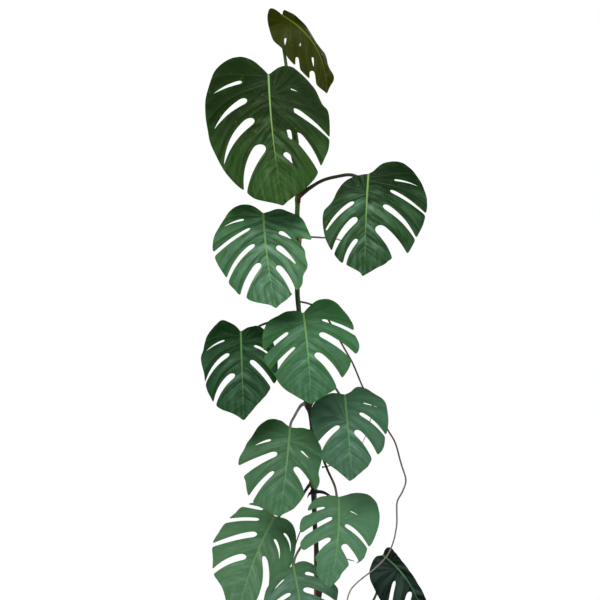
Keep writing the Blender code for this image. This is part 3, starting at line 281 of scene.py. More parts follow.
# Blades. junction and tip are X, depth and Z, with X and Z on the plane y = 0. bend bows the midrib sideways;
# arch, roll, cup, droop and right_fold shape the depth. left and right are the margins, from the base to the
# tip. A slit is along and across of its inner end, the same of its outer end, its width, its width at the
# outer end, and its bow towards the base.
BLADES = {
    "01": dict(
        junction=(-0.0815, -0.030, 1.9784), tip=(0.0342, -0.050, 1.7782),
        bend=0.15, arch=-0.10, roll=0.0, cup=0.7, droop=0.0, right_fold=7.5,
        left=[(-4, -1), (-10, -3.8), (-14.4, -7.8), (-11.3, -12.7), (-4.8, -17.2), (5, -20.4),
              (15.5, -22.5), (22.4, -21.8), (31, -19), (38, -18.6), (46, -18.4), (54, -16.6), (60, -14),
              (66, -12.2), (73.7, -9.6), (80, -6.2), (86, -4.6), (91, -3), (96, -0.6)],
        right=[(-5.6, 4.3), (-1.8, 6.9), (5.8, 12.2), (15.3, 15.2), (25, 17.3), (37.6, 17.8),
               (51.7, 18.7), (62.4, 20.3), (72.3, 17.2), (80, 16.8), (85.4, 17.4), (90.5, 15.1),
               (94.8, 6.8)],
        slits=[(22.7, -9, 31.2, -16.2, 3, 0, 0), (35.6, 2.7, 40.6, -1, 2, 0, 0),
               (55.9, 6.7, 67.7, 1.4, 3, 0, 0), (47.2, -9, 60, -15.8, 4, 5.6, 0),
               (69, -1.8, 84, -8.3, 6.4, 6.8, 0)],
    ),
    "02": dict(
        junction=(-0.1179, -0.120, 1.8250), tip=(-0.0789, -0.235, 1.4857),
        bend=-0.02, arch=0.09, roll=0.10, cup=0.10, droop=0.35,
        left=[(-6, -4.5), (-12, -10.5), (-15.7, -18), (-16, -24), (-13.6, -30.3), (-9.5, -36.3),
              (-4.5, -41.3), (3.3, -45.4), (14, -50), (26, -51.5), (36, -51), (46, -50),
              (56, -46.8), (67, -42.5), (74, -38.5), (81, -33), (87, -26.5), (92, -21), (95, -13),
              (98, -4)],
        right=[(-3, 5), (-5.5, 10), (-5.3, 15), (-3, 20), (2, 24), (8, 29), (15, 34), (26, 38.5),
               (30.5, 42.3), (38, 43), (50, 41.5), (61, 39), (68, 35), (74.5, 31), (79, 28.3), (83, 25),
               (88, 19), (92.5, 11), (97.5, 2.5)],
        slits=[(3, -20, 10, -44, 2.8, 0, 1.4), (16.4, -18.2, 36.4, -46.2, 5.4, 0, 2.7),
               (31.7, -14.9, 65.2, -41.2, 7, 0, 4.5), (52, -10, 89, -27.8, 9.5, 1.2, 3.9),
               (11.6, 14, 15.6, 21.4, 1.3, 0, 0), (27.4, 15.1, 54.4, 42.1, 4, 0.9, 1.4),
               (43, 9.2, 51.5, 12.2, 5.2, 0, 0), (46.1, 14.3, 78.2, 30.6, 7, 3.2, 1.8),
               (59.8, 4.8, 74.3, 14.3, 4.4, 0, 1)],
    ),
    "03": dict(
        junction=(0.1418, -0.100, 1.5679), tip=(0.1330, -0.200, 1.3024),
        bend=-0.01, arch=0.09, roll=0.28, cup=0.12, droop=0.30,
        left=[(1, -7), (4, -16), (9, -23), (14, -27.5), (20, -31), (27, -34), (32, -38), (36, -42),
              (42, -43), (50, -42.5), (57, -41.3), (64, -39.5), (70, -36.5), (77, -33), (82, -29),
              (87, -24), (90, -16.5), (94, -8), (96.5, -4)],
        right=[(-3, 5), (-8, 10), (-11.5, 16), (-13.2, 24), (-12.5, 33), (-9, 39), (-5, 44), (0, 47.5),
               (8, 51.5), (15, 54), (24, 57), (33, 57.6), (42, 57), (50, 55.5), (60.5, 50.5), (69, 46),
               (77, 40.5), (80.5, 32), (83, 23), (87, 19), (91, 11), (95, 5), (97, 1.5)],
        slits=[(27, -12.5, 55.9, -39.6, 4.2, 1.6, 2.8), (42.5, -9.5, 80, -33, 6.8, 2.4, 3.5),
               (63, -8.5, 91, -21, 4.4, 3.2, 2.5), (5.5, 24, 13, 50, 2.3, 0, 1.7),
               (15.1, 20.8, 38.4, 58.1, 3.2, 1.2, 2.1), (29.5, 14.9, 62.2, 51.8, 6, 1.8, 3.5),
               (50.5, 9.5, 84, 35, 10, 19, 3.5)],
        tip_across=-3,
    ),
    "04": dict(
        junction=(-0.1317, -0.130, 1.4649), tip=(-0.0984, -0.235, 1.2192),
        bend=-0.02, arch=0.08, roll=-0.18, cup=0.12, droop=0.40,
        left=[(-6, -5.5), (-10, -11.5), (-12.2, -18.5), (-12, -23.5), (-10, -30.5), (-6, -36.5),
              (-1, -40.5), (5, -44), (11, -47.5), (18, -51.5), (27, -54.3), (36, -55), (44, -54),
              (51, -52), (61.5, -47.5), (68, -45.5), (74, -41), (80.5, -36.5), (84, -30), (88, -25.5),
              (91, -18), (93, -12), (95.5, -5)],
        right=[(-1.5, 8.5), (-2.5, 13.5), (-2, 19.5), (0.5, 25), (5, 31), (9, 36.5), (15, 40.5),
               (23, 43), (30, 45), (35.5, 46.5), (41, 43), (46, 38), (52, 38), (58, 39), (63, 37.5),
               (70, 32.5), (76.5, 31.5), (82, 28), (85, 22), (88.6, 16.5), (92.7, 11), (96, 4.3)],
        slits=[(4.2, -19.5, 11, -43, 2.6, 0, 1.5), (13.5, -14.5, 38.5, -56, 3, 3.2, 2),
               (30.5, -12.5, 64.6, -47.4, 5, 3, 4.4), (50.7, -9.6, 86.6, -33.8, 7.2, 7, 3.2),
               (29, 30, 44, 46, 2.6, 16, 0), (21.3, 13.2, 31.2, 26.3, 4.8, 0, 0.8),
               (35.5, 9, 59, 28, 6.4, 0, 1.2), (55.5, 6.5, 86, 20.5, 6.5, 6, 2)],
    ),
    "05": dict(
        junction=(-0.1899, -0.050, 1.1563), tip=(-0.1819, -0.150, 0.9280),
        bend=0.0, arch=0.08, roll=-0.22, cup=0.12, droop=0.35,
        left=[(-5, -3.5), (-9, -8.5), (-12, -14.5), (-14.2, -21), (-10, -27.5), (-5, -31.5), (0, -35.5),
              (6, -39), (12, -41), (20, -42.5), (27, -45.7), (36, -45.5), (45, -44), (55, -43.5),
              (65, -41), (72, -37.5), (78.5, -34), (83, -29.5), (87, -23.5), (90, -15.5), (94, -7.5)],
        right=[(-4, 6.5), (-5.5, 12.5), (-6, 18), (-4, 23), (0, 28), (5, 32), (12, 36), (20, 38.5),
               (30, 40.5), (40, 40.5), (48, 40), (55, 38.5), (60.5, 35), (65, 31.5), (70, 28.5),
               (75.5, 23), (80.9, 17.2), (86.6, 12), (92.6, 6.6)],
        slits=[(8.9, -17.3, 22.2, -40.9, 2.3, 0, 1.9), (23.8, -13.2, 56.3, -43.7, 5.4, 1, 4.2),
               (46.6, -8.4, 81.2, -32.8, 7.4, 4.2, 4.2), (15.5, 13.5, 32, 36, 3.4, 0, 2.5),
               (32.2, 9.4, 63.3, 34.6, 6.2, 4.6, 2)],
    ),
    "06": dict(
        junction=(-0.0269, -0.160, 1.2049), tip=(-0.0074, -0.255, 0.9696),
        bend=0.015, arch=0.08, roll=0.05, cup=0.10, droop=0.40,
        left=[(-3, -6), (-4, -13), (-3, -20), (0, -26), (3.5, -33), (8, -39.5), (15, -43.5), (22, -46.5),
              (30, -47.7), (38, -46.8), (46, -47.5), (52, -45.5), (60, -40), (66, -36), (71, -34.5),
              (76, -31.5), (82, -26), (87, -19), (92, -12), (97, -4)],
        right=[(-3, 2.5), (-6, 6), (-9, 10), (-12, 15), (-13.3, 23), (-12.5, 31), (-8, 38), (-1, 44),
               (5, 49), (12, 53), (19, 54.3), (27, 53.7), (38, 57), (45, 56.5), (51, 52.7), (56, 47.5),
               (62, 45.5), (68, 42), (75, 36), (80, 31.5), (84.5, 29.5), (87, 25.5), (90, 19), (93, 13),
               (97, 5)],
        slits=[(19, -17.5, 42.5, -49.5, 3.8, 3.6, 1), (35.5, -11.4, 61, -39, 3, 8, 1.5),
               (8.7, 18.5, 27.3, 54.7, 3, 5, 1.8), (23.3, 15.1, 55.9, 51.2, 6.5, 7, 2.9),
               (44.2, 9, 81.5, 34.3, 8, 9, 3.6)],
        tip_across=1,
    ),
    "07": dict(
        junction=(0.0807, -0.130, 0.9946), tip=(0.1010, -0.220, 0.7707),
        bend=0.0, arch=0.08, roll=0.25, cup=0.12, droop=0.35,
        left=[(-3, -11), (-3, -16), (-1, -22), (2, -29), (6, -35), (12, -39), (20, -41.8), (28, -42),
              (36, -41), (43, -38.5), (51.5, -35.3), (58, -36), (66, -37), (70, -35.5), (75, -30.5),
              (80, -24), (85, -18), (90, -13), (96, -7)],
        right=[(-2.5, 7), (-6.3, 11.5), (-7.6, 16), (-7.2, 21.5), (-4.5, 27), (1, 33), (5, 38.8),
               (9.2, 43.8), (14.5, 46), (22, 46.5), (35, 46.8), (44.3, 45.5), (54.5, 42), (62.5, 40.6),
               (68, 37.6), (73, 31.5), (77.5, 23.8), (81.5, 21.4), (85.5, 18.3), (89, 13), (93, 7.4),
               (98, 0.4)],
        slits=[(34.9, -8.9, 62, -37.8, 5.5, 10, 3.1), (11.3, 18.5, 20.2, 39, 1.4, 0, 0.5),
               (22.3, 14, 54.2, 44, 4.6, 1.4, 3.1), (41.9, 7.5, 75.7, 28.4, 8, 9, 2.8)],
        tip_across=-4,
    ),
    "08": dict(
        junction=(-0.0620, -0.070, 0.9088), tip=(-0.0885, -0.160, 0.6784),
        bend=0.01, arch=0.08, roll=-0.15, cup=0.10, droop=0.40,
        left=[(-4, -6.5), (-6, -9.5), (-7.2, -16), (-7, -21), (-5.5, -26.5), (-2, -31.5), (4, -36),
              (10, -38.5), (18, -42), (25, -45), (33, -46.8), (40.8, -50), (50, -51), (58, -47),
              (65, -42.8), (72, -41.6), (78.6, -39.6), (84, -36.5), (88.5, -31), (91.5, -25),
              (94.5, -17.3), (98, -10)],
        right=[(0, 6), (-1, 13), (-1, 19), (1, 25), (6, 29.5), (13, 33), (20, 37), (28, 39), (35, 39.2),
               (42, 38), (48.5, 37.7), (55.2, 40), (62.5, 38.7), (68, 35), (72, 26), (77, 23),
               (80.8, 21), (85.8, 17.5), (89.8, 14.4), (93.6, 9), (97, 3.5)],
        slits=[(16.5, -18.2, 26.6, -37.2, 2.8, 0, 0.6), (29.9, -10.2, 58.3, -51.5, 6.4, 12, 1.9),
               (50.2, -11.7, 88.6, -36.9, 4.8, 8, 2.5), (24, 14.4, 33.4, 26.4, 2, 0, 0),
               (43.2, 9.7, 71, 31, 7, 13, 2)],
        tip_across=-2,
    ),
    "09": dict(
        junction=(0.0649, -0.130, 0.7278), tip=(0.0417, -0.220, 0.4922),
        bend=0.035, arch=0.08, roll=0.15, cup=0.10, droop=0.35,
        left=[(-1, -8), (0, -14), (2, -20), (5, -25), (9, -29), (15, -32.5), (22, -33), (27, -38),
              (32, -39.5), (40.5, -39), (46, -33.2), (52, -37), (58, -36.7), (62, -32), (66, -24),
              (72, -17.5), (80, -17), (86, -16), (90, -13), (96, -6)],
        right=[(-2, 6), (-4, 10), (-6, 17), (-6.5, 24), (-5.9, 31.7), (-2.5, 37.7), (2.6, 41.8), (10, 44),
               (18, 46), (25, 46.5), (33, 45.5), (40, 44), (46, 42.3), (52, 38), (58, 36), (64, 34),
               (69, 28.5), (72, 21), (75, 16.5), (79, 14), (83, 10.7), (87, 10), (91, 7), (96, 3)],
        slits=[(12.8, -13.2, 22.3, -34, 2.6, 4, 1), (22.9, -4.3, 46.6, -37.7, 4.6, 5, 1.2),
               (45.5, -4, 69, -28, 5, 16, 2), (13.6, 12.7, 18.5, 24.3, 1.3, 0, 0),
               (29.3, 9.1, 53.2, 39.2, 5, 2, 2.8), (50.9, 9.3, 71, 24, 8, 12, 1)],
        tip_across=-1,
    ),
    "10": dict(
        junction=(-0.1023, -0.030, 0.6779), tip=(-0.2011, -0.140, 0.4028),
        bend=-0.04, arch=0.08, roll=-0.15, cup=0.10, droop=0.35,
        left=[(-4, -6), (-6, -13), (-6, -19), (-3, -25), (2, -31), (9, -34.5), (16, -38), (22, -39.7),
              (30, -41.5), (42, -43.5), (50, -40.5), (58, -37.7), (65.5, -35.5), (70, -29), (75, -22.5),
              (80, -18.5), (86, -14.5), (92, -9)],
        right=[(-1, 5), (-1, 12), (1, 17), (5, 21), (10, 24), (17, 26.5), (25, 28), (34, 28.5),
               (43, 26.8), (52, 24), (62, 21.5), (72, 18.5), (78, 15.5), (81.5, 10), (86, 7), (92, 4.5)],
        slits=[(-2.6, -11, 0, -31, 2.8, 3, 0), (7, -11.2, 19, -40.2, 3, 4, 1),
               (19.5, -8.9, 44.5, -44.5, 5.2, 2.5, 1.5), (41.3, -11.4, 67.9, -37.2, 6, 3.6, 3.2),
               (11, 12, 26, 24, 2.4, 0, 2.5), (18.5, 6, 35, 17, 2.6, 0, 1.8),
               (35.5, 2.5, 83.4, 12.4, 5, 8, 5.1)],
        tip_across=1,
    ),
    "11": dict(
        junction=(-0.0537, -0.120, 0.5497), tip=(-0.0230, -0.215, 0.3170),
        bend=0.02, arch=0.08, roll=0.05, cup=0.10, droop=0.35,
        left=[(1, -3), (4, -9), (6, -16), (10, -23), (16, -29), (22, -33.5), (30, -36.5), (38, -38.5),
              (46, -39.5), (54, -38.5), (62, -36.5), (70, -33.5), (78, -28), (84, -22), (90, -14),
              (95, -7)],
        right=[(-3, 5), (-3.5, 11), (-2, 17), (2, 22), (8, 27), (15, 32.5), (22, 38), (28, 42.5),
               (33, 45.3), (38, 44.5), (46, 42.5), (54, 41), (62, 38), (70, 33), (78, 27), (84, 21),
               (90, 13), (95, 6.5)],
        slits=[(13, -11, 31, -32.5, 1.6, 0, 0.5), (29.9, -6.1, 54, -39.8, 4.5, 4, 3),
               (52, -7, 81, -30, 6, 7, 3.5), (10, 11, 18.5, 27, 4.4, 0, 1.2),
               (27, 7, 51, 43.5, 6.5, 5, 3), (48, 6, 80, 30, 7, 8, 3)],
    ),
    "12": dict(
        junction=(0.1798, -0.020, 0.5778), tip=(0.2864, -0.050, 0.3872),
        bend=0.11, arch=0.04, roll=0.6, cup=-1.1, droop=0.0,
        left=[(-3, -8), (2, -17), (9, -23.6), (20, -28), (34, -28.5), (47, -28), (58, -27), (68, -24),
              (78, -19), (86, -13), (94, -6)],
        right=[(-5, 5), (-5, 11.5), (3, 14), (14, 15.5), (25, 17.5), (37, 19), (50, 19.5), (62, 19.5),
               (73, 18.5), (82, 14), (90, 8), (96, 3)],
        slits=[(32.5, -1.9, 66, -28, 4, 5, 1), (53, 7.6, 85, -17, 6.5, 9, 2)],
    ),
}


# ---------------------------------------------------------------- shapes in the plane of a blade


def smooth_curve(points, per_span):
    """Catmull-Rom curve through the points, with per_span steps between neighbours."""
    p = np.array(points, float)
    ends = np.vstack([2 * p[0] - p[1], p, 2 * p[-1] - p[-2]])
    t = np.linspace(0, 1, per_span, endpoint=False)[:, None]
    out = []
    for a, b, c, d in zip(ends, ends[1:], ends[2:], ends[3:]):
        square, cube = 2 * a - 5 * b + 4 * c - d, 3 * b - a - 3 * c + d
        out.append(0.5 * (2 * b + (c - a) * t + square * t**2 + cube * t**3))
    return np.vstack(out + [p[-1:]])


def even_steps(curve, step):
    """Points along a curve at even distances close to step."""
    lengths = np.r_[0, np.cumsum(np.linalg.norm(np.diff(curve, axis=0), axis=1))]
    count = max(2, round(lengths[-1] / step) + 1)
    at = np.linspace(0, lengths[-1], count)
    return np.stack([np.interp(at, lengths, curve[:, k]) for k in range(curve.shape[1])], axis=1)


def inside(points, polygon):
    """Which of the points lie inside a closed polygon."""
    x, y = points[:, 0][:, None], points[:, 1][:, None]
    a, b = polygon, np.roll(polygon, -1, axis=0)
    crosses = (a[:, 1] > y) != (b[:, 1] > y)
    height = np.where(b[:, 1] == a[:, 1], 1e-12, b[:, 1] - a[:, 1])
    at = a[:, 0] + (y - a[:, 1]) * (b[:, 0] - a[:, 0]) / height
    return (np.sum(crosses & (x < at), axis=1) % 2) == 1


def within(points, outer, *holes):
    """Which of the points lie inside the outer polygon and outside the holes."""
    keep = inside(points, outer)
    for hole in holes:
        keep &= ~inside(points, hole)
    return keep


def angles_round(count):
    """Angles of count even steps round a circle."""
    return np.arange(count) * 2 * math.pi / count


def circle(centre, radius, count):
    turns = angles_round(count)
    return np.array(centre) + radius * np.stack([np.cos(turns), np.sin(turns)], axis=1)


def slit_middle(slit, t):
    """Points on a slit's middle line, and the way towards its bowed side."""
    inner, outer = np.array(slit[:2]) / 100, np.array(slit[2:4]) / 100
    chord = outer - inner
    side = np.array([-chord[1], chord[0]]) / np.hypot(*chord)
    side = side if side[0] < 0 else -side
    return inner + t[:, None] * chord + (4 * t * (1 - t))[:, None] * slit[6] / 100 * side, side


def slit_polygon(slit, steps):
    """Outline of one slit: a bowed band that is round at its inner end."""
    width, mouth = slit[4] / 100, slit[5] / 100
    t = np.linspace(0, 1, 2 * steps + 1) ** 1.25
    centre, side = slit_middle(slit, t)
    round_end = np.sqrt(1 - (1 - np.minimum(t / 0.12, 1)) ** 2)
    half = 0.5 * round_end * (width + (mouth - width) * t**1.6)
    one, two = centre + half[:, None] * side, centre - half[:, None] * side
    if mouth == 0:
        return np.vstack([one[:-1], two[:0:-1]])
    return np.vstack([one, two[:0:-1]])


def midrib(blade, along):
    """How far across the midrib lies."""
    return blade["bend"] * 4 * np.clip(along, 0, 1) * (1 - np.clip(along, 0, 1))


def blade_length(blade):
    run = np.array(blade["tip"]) - np.array(blade["junction"])
    return math.hypot(run[0], run[2])


def smooth_step(share):
    share = np.clip(share, 0, 1)
    return share**2 * (3 - 2 * share)


def crease(offset):
    """Distance from the midrib, rounded off near it."""
    return np.sqrt(offset**2 + CREASE**2) - CREASE


def blade_point(blade, along, across):
    """Place on the blade's middle surface of a point given in shares of its length."""
    junction, tip = np.array(blade["junction"]), np.array(blade["tip"])
    run = tip - junction
    length = math.hypot(run[0], run[2])
    down = np.array([run[0], 0, run[2]]) / length
    out = np.array([-down[2], 0, down[0]])
    arch = 4 * along * (1 - along)
    offset = across - blade["bend"] * arch
    reach = run[1] * along / length - blade["arch"] * arch
    reach = reach + blade["roll"] * offset + blade["droop"] * offset**2
    reach -= blade["cup"] * smooth_step(along / 0.3) * crease(offset)
    ends = smooth_step((along - 0.08) / 0.3) * smooth_step((0.9 - along) / 0.25)
    reach += blade.get("right_fold", 0) * ends * crease(np.maximum(offset, 0))
    depth = junction[1] + length * reach
    flat = junction * (1, 0, 1) + length * (along[..., None] * down + across[..., None] * out)
    place = SIGHT + (flat - SIGHT) * (1 + depth / -SIGHT[1])[..., None]
    place[..., 1] = depth
    return place


def blade_normal(blade, along, across):
    """Unit normal towards the blade's upper side."""
    d = 1e-3
    u = blade_point(blade, along + d, across) - blade_point(blade, along - d, across)
    v = blade_point(blade, along, across + d) - blade_point(blade, along, across - d)
    n = np.cross(u, v)
    n /= np.linalg.norm(n, axis=-1, keepdims=True)
    return np.where(n[..., 1:2] < 0, n, -n)


# ---------------------------------------------------------------- veins


class Veins:
    """The side veins of one half of a blade, guided by its long slits.

    Phase counts the slits from the base to the tip: whole at a slit's middle line, and a half more on the
    vein between two slits.
    """

    def __init__(self, blade, side):
        self.lines = []
        for slit in blade["slits"]:
            line, _ = slit_middle(slit, np.linspace(0, 1, 7))
            offset = line[:, 1] - midrib(blade, line[:, 0])
            if np.hypot(*(line[-1] - line[0])) < SHORTEST_SLIT or np.sign(offset[-1]) != side:
                continue
            reach = abs(offset)
            first = (line[1, 0] - line[0, 0]) / max(reach[1] - reach[0], 1e-3)
            last = (line[-1, 0] - line[-2, 0]) / max(reach[-1] - reach[-2], 1e-3)
            root = line[0, 0] - 0.85 * np.clip(first, 0, 2.2) * reach[0]
            along = np.r_[root, line[:, 0], line[-1, 0] + 0.5 * last]
            self.lines.append((np.r_[0, reach, reach[-1] + 0.5], along))
        if not self.lines:
            for at in (0.10, 0.32):
                self.lines.append((np.array([0, 0.2, 0.5]), np.array([at, at + 0.24, at + 0.72])))
        self.lines.sort(key=lambda line: np.interp(0.15, *line))
        self.root = self.lines[0][1][0] - 0.02

    def slits_at(self, reach):
        """Where each slit line crosses, at distances from the midrib."""
        found = [np.interp(reach, *line) for line in self.lines]
        for k in range(1, len(found)):
            found[k] = np.maximum(found[k], found[k - 1] + 0.06)
        return found

    def phase(self, along, reach):
        at = self.slits_at(reach)
        first = np.arctan2(reach + 1e-3, at[0] - self.root)
        out = -(np.arctan2(reach + 1e-3, along - self.root) - first) / BASAL_VEIN_ANGLE
        for k in range(len(at)):
            ahead = at[k + 1] - at[k] if k + 1 < len(at) else TIP_VEIN_SPACING
            out = np.where(along >= at[k], k + (along - at[k]) / ahead, out)
        return out

    def along(self, phase, reach):
        """Place along the blade of one phase, at distances from the midrib."""
        at = self.slits_at(reach)
        if phase < 0:
            angle = np.arctan2(reach + 1e-3, at[0] - self.root) - phase * BASAL_VEIN_ANGLE
            return self.root + (reach + 1e-3) / np.tan(np.clip(angle, 0.05, 3.0))
        k = min(int(phase), len(at) - 1)
        ahead = at[k + 1] - at[k] if k + 1 < len(at) else TIP_VEIN_SPACING
        return at[k] + (phase - k) * ahead


# ---------------------------------------------------------------- meshes


def add_object(name, data):
    made = bpy.data.objects.new(name, data)
    bpy.context.scene.collection.objects.link(made)
    return made


def add_mesh(name, vertices, faces, materials, which=None, sharp=50):
    """Smooth mesh with sharp edges above an angle in degrees; which gives each face's material."""
    mesh = bpy.data.meshes.new(name)
    mesh.from_pydata(np.asarray(vertices, float).tolist(), [], [list(map(int, f)) for f in faces])
    for look in materials:
        mesh.materials.append(look)
    if which is not None:
        mesh.polygons.foreach_set("material_index", np.asarray(which, np.int32))
    mesh.shade_smooth()
    mesh.set_sharp_from_angle(angle=math.radians(sharp))
    return add_object(name, mesh)


def add_values(made, name, values, domain="POINT"):
    values = np.asarray(values, np.float32)
    kind, key = ("FLOAT", "value") if values.ndim == 1 else ("FLOAT_VECTOR", "vector")
    made.data.attributes.new(name, kind, domain).data.foreach_set(key, values.ravel())


def bands(rows, count):
    """Faces between rings of count points each."""
    faces = []
    for row in range(rows - 1):
        for k in range(count):
            here, after = row * count + k, row * count + (k + 1) % count
            faces.append((here, after, after + count, here + count))
    return faces


def shifted(faces, first):
    """Faces whose points start at number first."""
    return [tuple(np.array(f) + first) for f in faces]


def corners(box):
    """A box's low and high corner as arrays."""
    return [np.array(corner) for corner in box]


def stand_for(made, node):
    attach(made, "root")
    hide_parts(node)


def frames(line, first_side=(0.3, 0.9, 0.1)):
    """Tangent, side and other side at each point of a line, turning as little as possible."""
    tangents = np.gradient(line, axis=0)
    tangents /= np.linalg.norm(tangents, axis=1)[:, None]
    side = np.cross(tangents[0], first_side)
    sides = []
    for along in tangents:
        side = side - along * np.dot(side, along)
        side /= np.linalg.norm(side)
        sides.append(side)
    sides = np.array(sides)
    return tangents, sides, np.cross(tangents, sides)


def tube_mesh(line, radii, count):
    """Vertices, faces and shares of the length of a closed tube. radii is (points,) or (points, count)."""
    tangents, sides, others = frames(line)
    angles = angles_round(count)
    radii = np.broadcast_to(np.asarray(radii, float).reshape(len(line), -1), (len(line), count))
    rings = line[:, None] + radii[..., None] * (
        np.cos(angles)[None, :, None] * sides[:, None] + np.sin(angles)[None, :, None] * others[:, None])
    low = line[:1] - tangents[:1] * radii[0, 0] * 0.3
    high = line[-1:] + tangents[-1:] * radii[-1, 0] * 0.3
    vertices = np.vstack([rings.reshape(-1, 3), low, high])
    faces = bands(len(line), count)
    top, first, last = (len(line) - 1) * count, len(vertices) - 2, len(vertices) - 1
    for k in range(count):
        faces.append(((k + 1) % count, k, first))
        faces.append((top + k, top + (k + 1) % count, last))
    share = np.r_[np.repeat(np.linspace(0, 1, len(line)), count), 0, 1]
    return vertices, faces, share


def fit_to(points, node, rest=None):
    """Moves and slightly scales points to fill the frame node's box. rest are points that go along."""
    low, high = corners(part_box(node))
    size = np.maximum(np.ptp(points, axis=0), 1e-6)
    scale = np.clip((high - low) / size, 0.9, 1.1)
    centre = (points.max(axis=0) + points.min(axis=0)) / 2
    move = (low + high) / 2
    return [move + (p - centre) * scale for p in [points, *(rest or [])]]


# ---------------------------------------------------------------- leaves


def open_sides(triangles):
    """Sides that only one triangle has, in its direction."""
    seen = {(a, b) for t in triangles for a, b in zip(t, np.roll(t, -1))}
    return [(a, b) for a, b in seen if (b, a) not in seen]


def loops_of(triangles):
    """Boundary loops of a net of triangles, as lists of its points."""
    after = dict(open_sides(triangles))
    loops = []
    while after:
        start, here = next(iter(after.items()))
        del after[start]
        loop = [start]
        while here != start and here in after:
            loop.append(here)
            here = after.pop(here)
        loops.append(loop)
    return loops


def net_of(loops, extra, edges_of=None):
    """Flat net of triangles through loops, extra points and an open line of edges."""
    points, edges = [], []
    for loop in loops:
        first = len(points)
        points += [Vector(p) for p in loop]
        edges += [(first + k, first + (k + 1) % len(loop)) for k in range(len(loop))]
    if edges_of is not None:
        first = len(points)
        points += [Vector(p) for p in edges_of]
        edges += [(first + k, first + k + 1) for k in range(len(edges_of) - 1)]
    points += [Vector(p) for p in extra]
    net, _, triangles, *_ = delaunay_2d_cdt(points, edges, [], 0, 1e-7, False)
    return np.array([tuple(p) for p in net]), np.array([tuple(t) for t in triangles])


def rounded_loops(blade):
    """The blade's margin and open slits as one loop, and its closed slits, with their corners rounded."""
    length = blade_length(blade)
    tip = (100, blade.get("tip_across", 0))
    halves = [smooth_curve(np.array([(0, 0), *blade[half], tip]) / 100, 10) for half in ("left", "right")]
    left, right = (even_steps(half, MARGIN_STEP / length) for half in halves)
    margin = np.vstack([left, right[-2:0:-1]])
    slits = [slit_polygon(slit, 12) for slit in blade["slits"]]
    net, triangles = net_of([margin, *slits], [])
    keep = within(net[triangles].mean(axis=1), margin, *slits)
    loops = []
    for loop in loops_of(triangles[keep]):
        line = even_steps(np.vstack([net[loop], net[loop[:1]]]), OUTLINE_STEP / length)[:-1]
        if len(line) < SMALLEST_LOOP:
            continue
        for _ in range(CORNER_ROUNDING):
            line = 0.5 * line + 0.25 * (np.roll(line, 1, axis=0) + np.roll(line, -1, axis=0))
        loops.append(line)
    loops.sort(key=len, reverse=True)
    outer = loops[0]
    return [outer] + [loop for loop in loops[1:] if inside(loop[:1], outer)[0]]


def blade_net(blade):
    """Fine flat net of a blade, its distance to the margin, and its loops."""
    length = blade_length(blade)
    step = LEAF_MESH / length
    loops = rounded_loops(blade)
    low, high = loops[0].min(axis=0), loops[0].max(axis=0)
    rows = int((high[0] - low[0]) / step / ROW_SPACING) + 2
    columns = int((high[1] - low[1]) / step) + 2
    row, column = np.divmod(np.arange(rows * columns), columns)
    along = low[0] + row * step * ROW_SPACING
    grid = np.stack([along, low[1] + (column + 0.5 * (row % 2)) * step], axis=1)
    grid = grid[within(grid, *loops)]
    along = np.arange(0.03, 0.97, step * 0.9)
    rib = np.stack([along, midrib(blade, along)], axis=1)
    edge = np.vstack(loops)
    grid = grid[far_from(grid, np.vstack([edge, rib])) > 0.55 * step]
    net, triangles = net_of(loops, grid, rib)
    keep = within(net[triangles].mean(axis=1), *loops)
    used, triangles = np.unique(triangles[keep], return_inverse=True)
    net, triangles = net[used], triangles.reshape(-1, 3)
    return net, triangles, far_from(net, edge) * length, loops


def far_from(points, others):
    """Distance of each point to the nearest of the others."""
    tree = kdtree.KDTree(len(others))
    for k, p in enumerate(others):
        tree.insert((p[0], p[1], 0), k)
    tree.balance()
    return np.array([tree.find((p[0], p[1], 0))[2] for p in points])


def relief(blade, seed, along, across, veins):
    """Height of the pleats, the sway of the lobes and the groove of the midrib, towards the upper side."""
    length = blade_length(blade)
    offset = across - midrib(blade, along)
    reach = abs(offset)
    phase = np.where(offset < 0, veins[-1].phase(along, reach), veins[1].phase(along, reach))
    ramp = np.clip(reach / 0.16, 0, 1) * np.clip((1 - along) / 0.25, 0, 1)
    pleat = PLEAT * blade.get("pleat", 1) * ramp * (abs(np.sin(math.pi * (phase - 0.5))) ** 0.8 - 0.45)
    sway = np.sin(1.9 * phase + seed + np.where(offset < 0, 0, 2.1)) + 0.5 * np.sin(0.8 * phase + 2 * seed)
    lobes = LOBE_SWAY * (reach / 0.5) ** 2 * sway * length / 0.3
    groove = -GROOVE_DEPTH * np.exp(-((reach * length / GROOVE_WIDTH) ** 2))
    swell = np.array([noise.noise((a * length * 22, c * length * 22, seed)) for a, c in zip(along, across)])
    return pleat + lobes + groove + SWELL * swell * np.clip(reach / 0.1, 0, 1)


def half_values(veins, blade, along, across, side):
    """Phase, offset from the midrib in mm and mm per phase, for points of one half."""
    length = blade_length(blade) * 1000
    reach = np.maximum(side * (across - midrib(blade, along)), 0)
    phase = veins[side].phase(along, reach)
    d = 2e-3
    rise = veins[side].phase(along + d, reach) - phase
    slope = np.hypot(rise, veins[side].phase(along, reach + d) - phase) / d
    return np.stack([phase, side * reach * length, np.clip(length / np.maximum(slope, 0.5), 6, 90)], axis=1)


def ridge_lines(blade, veins, loops):
    """Middle lines of the side veins, each cut off before the margin or a slit."""
    lines = []
    for side in (-1, 1):
        for phase in np.arange(-4.5, len(veins[side].lines) + 1):
            reach = np.linspace(0.0, 0.62, 60)
            along = veins[side].along(phase, reach)
            line = np.stack([along, side * reach + midrib(blade, along)], axis=1)
            clear = within(line, *loops) & (along > -0.5)
            clear[0] = True
            stop = len(line) if clear.all() else int(np.argmin(clear))
            if stop > 8 and 0.0 < along[0] + 0.06 < 0.99:
                lines.append(line[: max(stop - 2, 5)])
    return lines


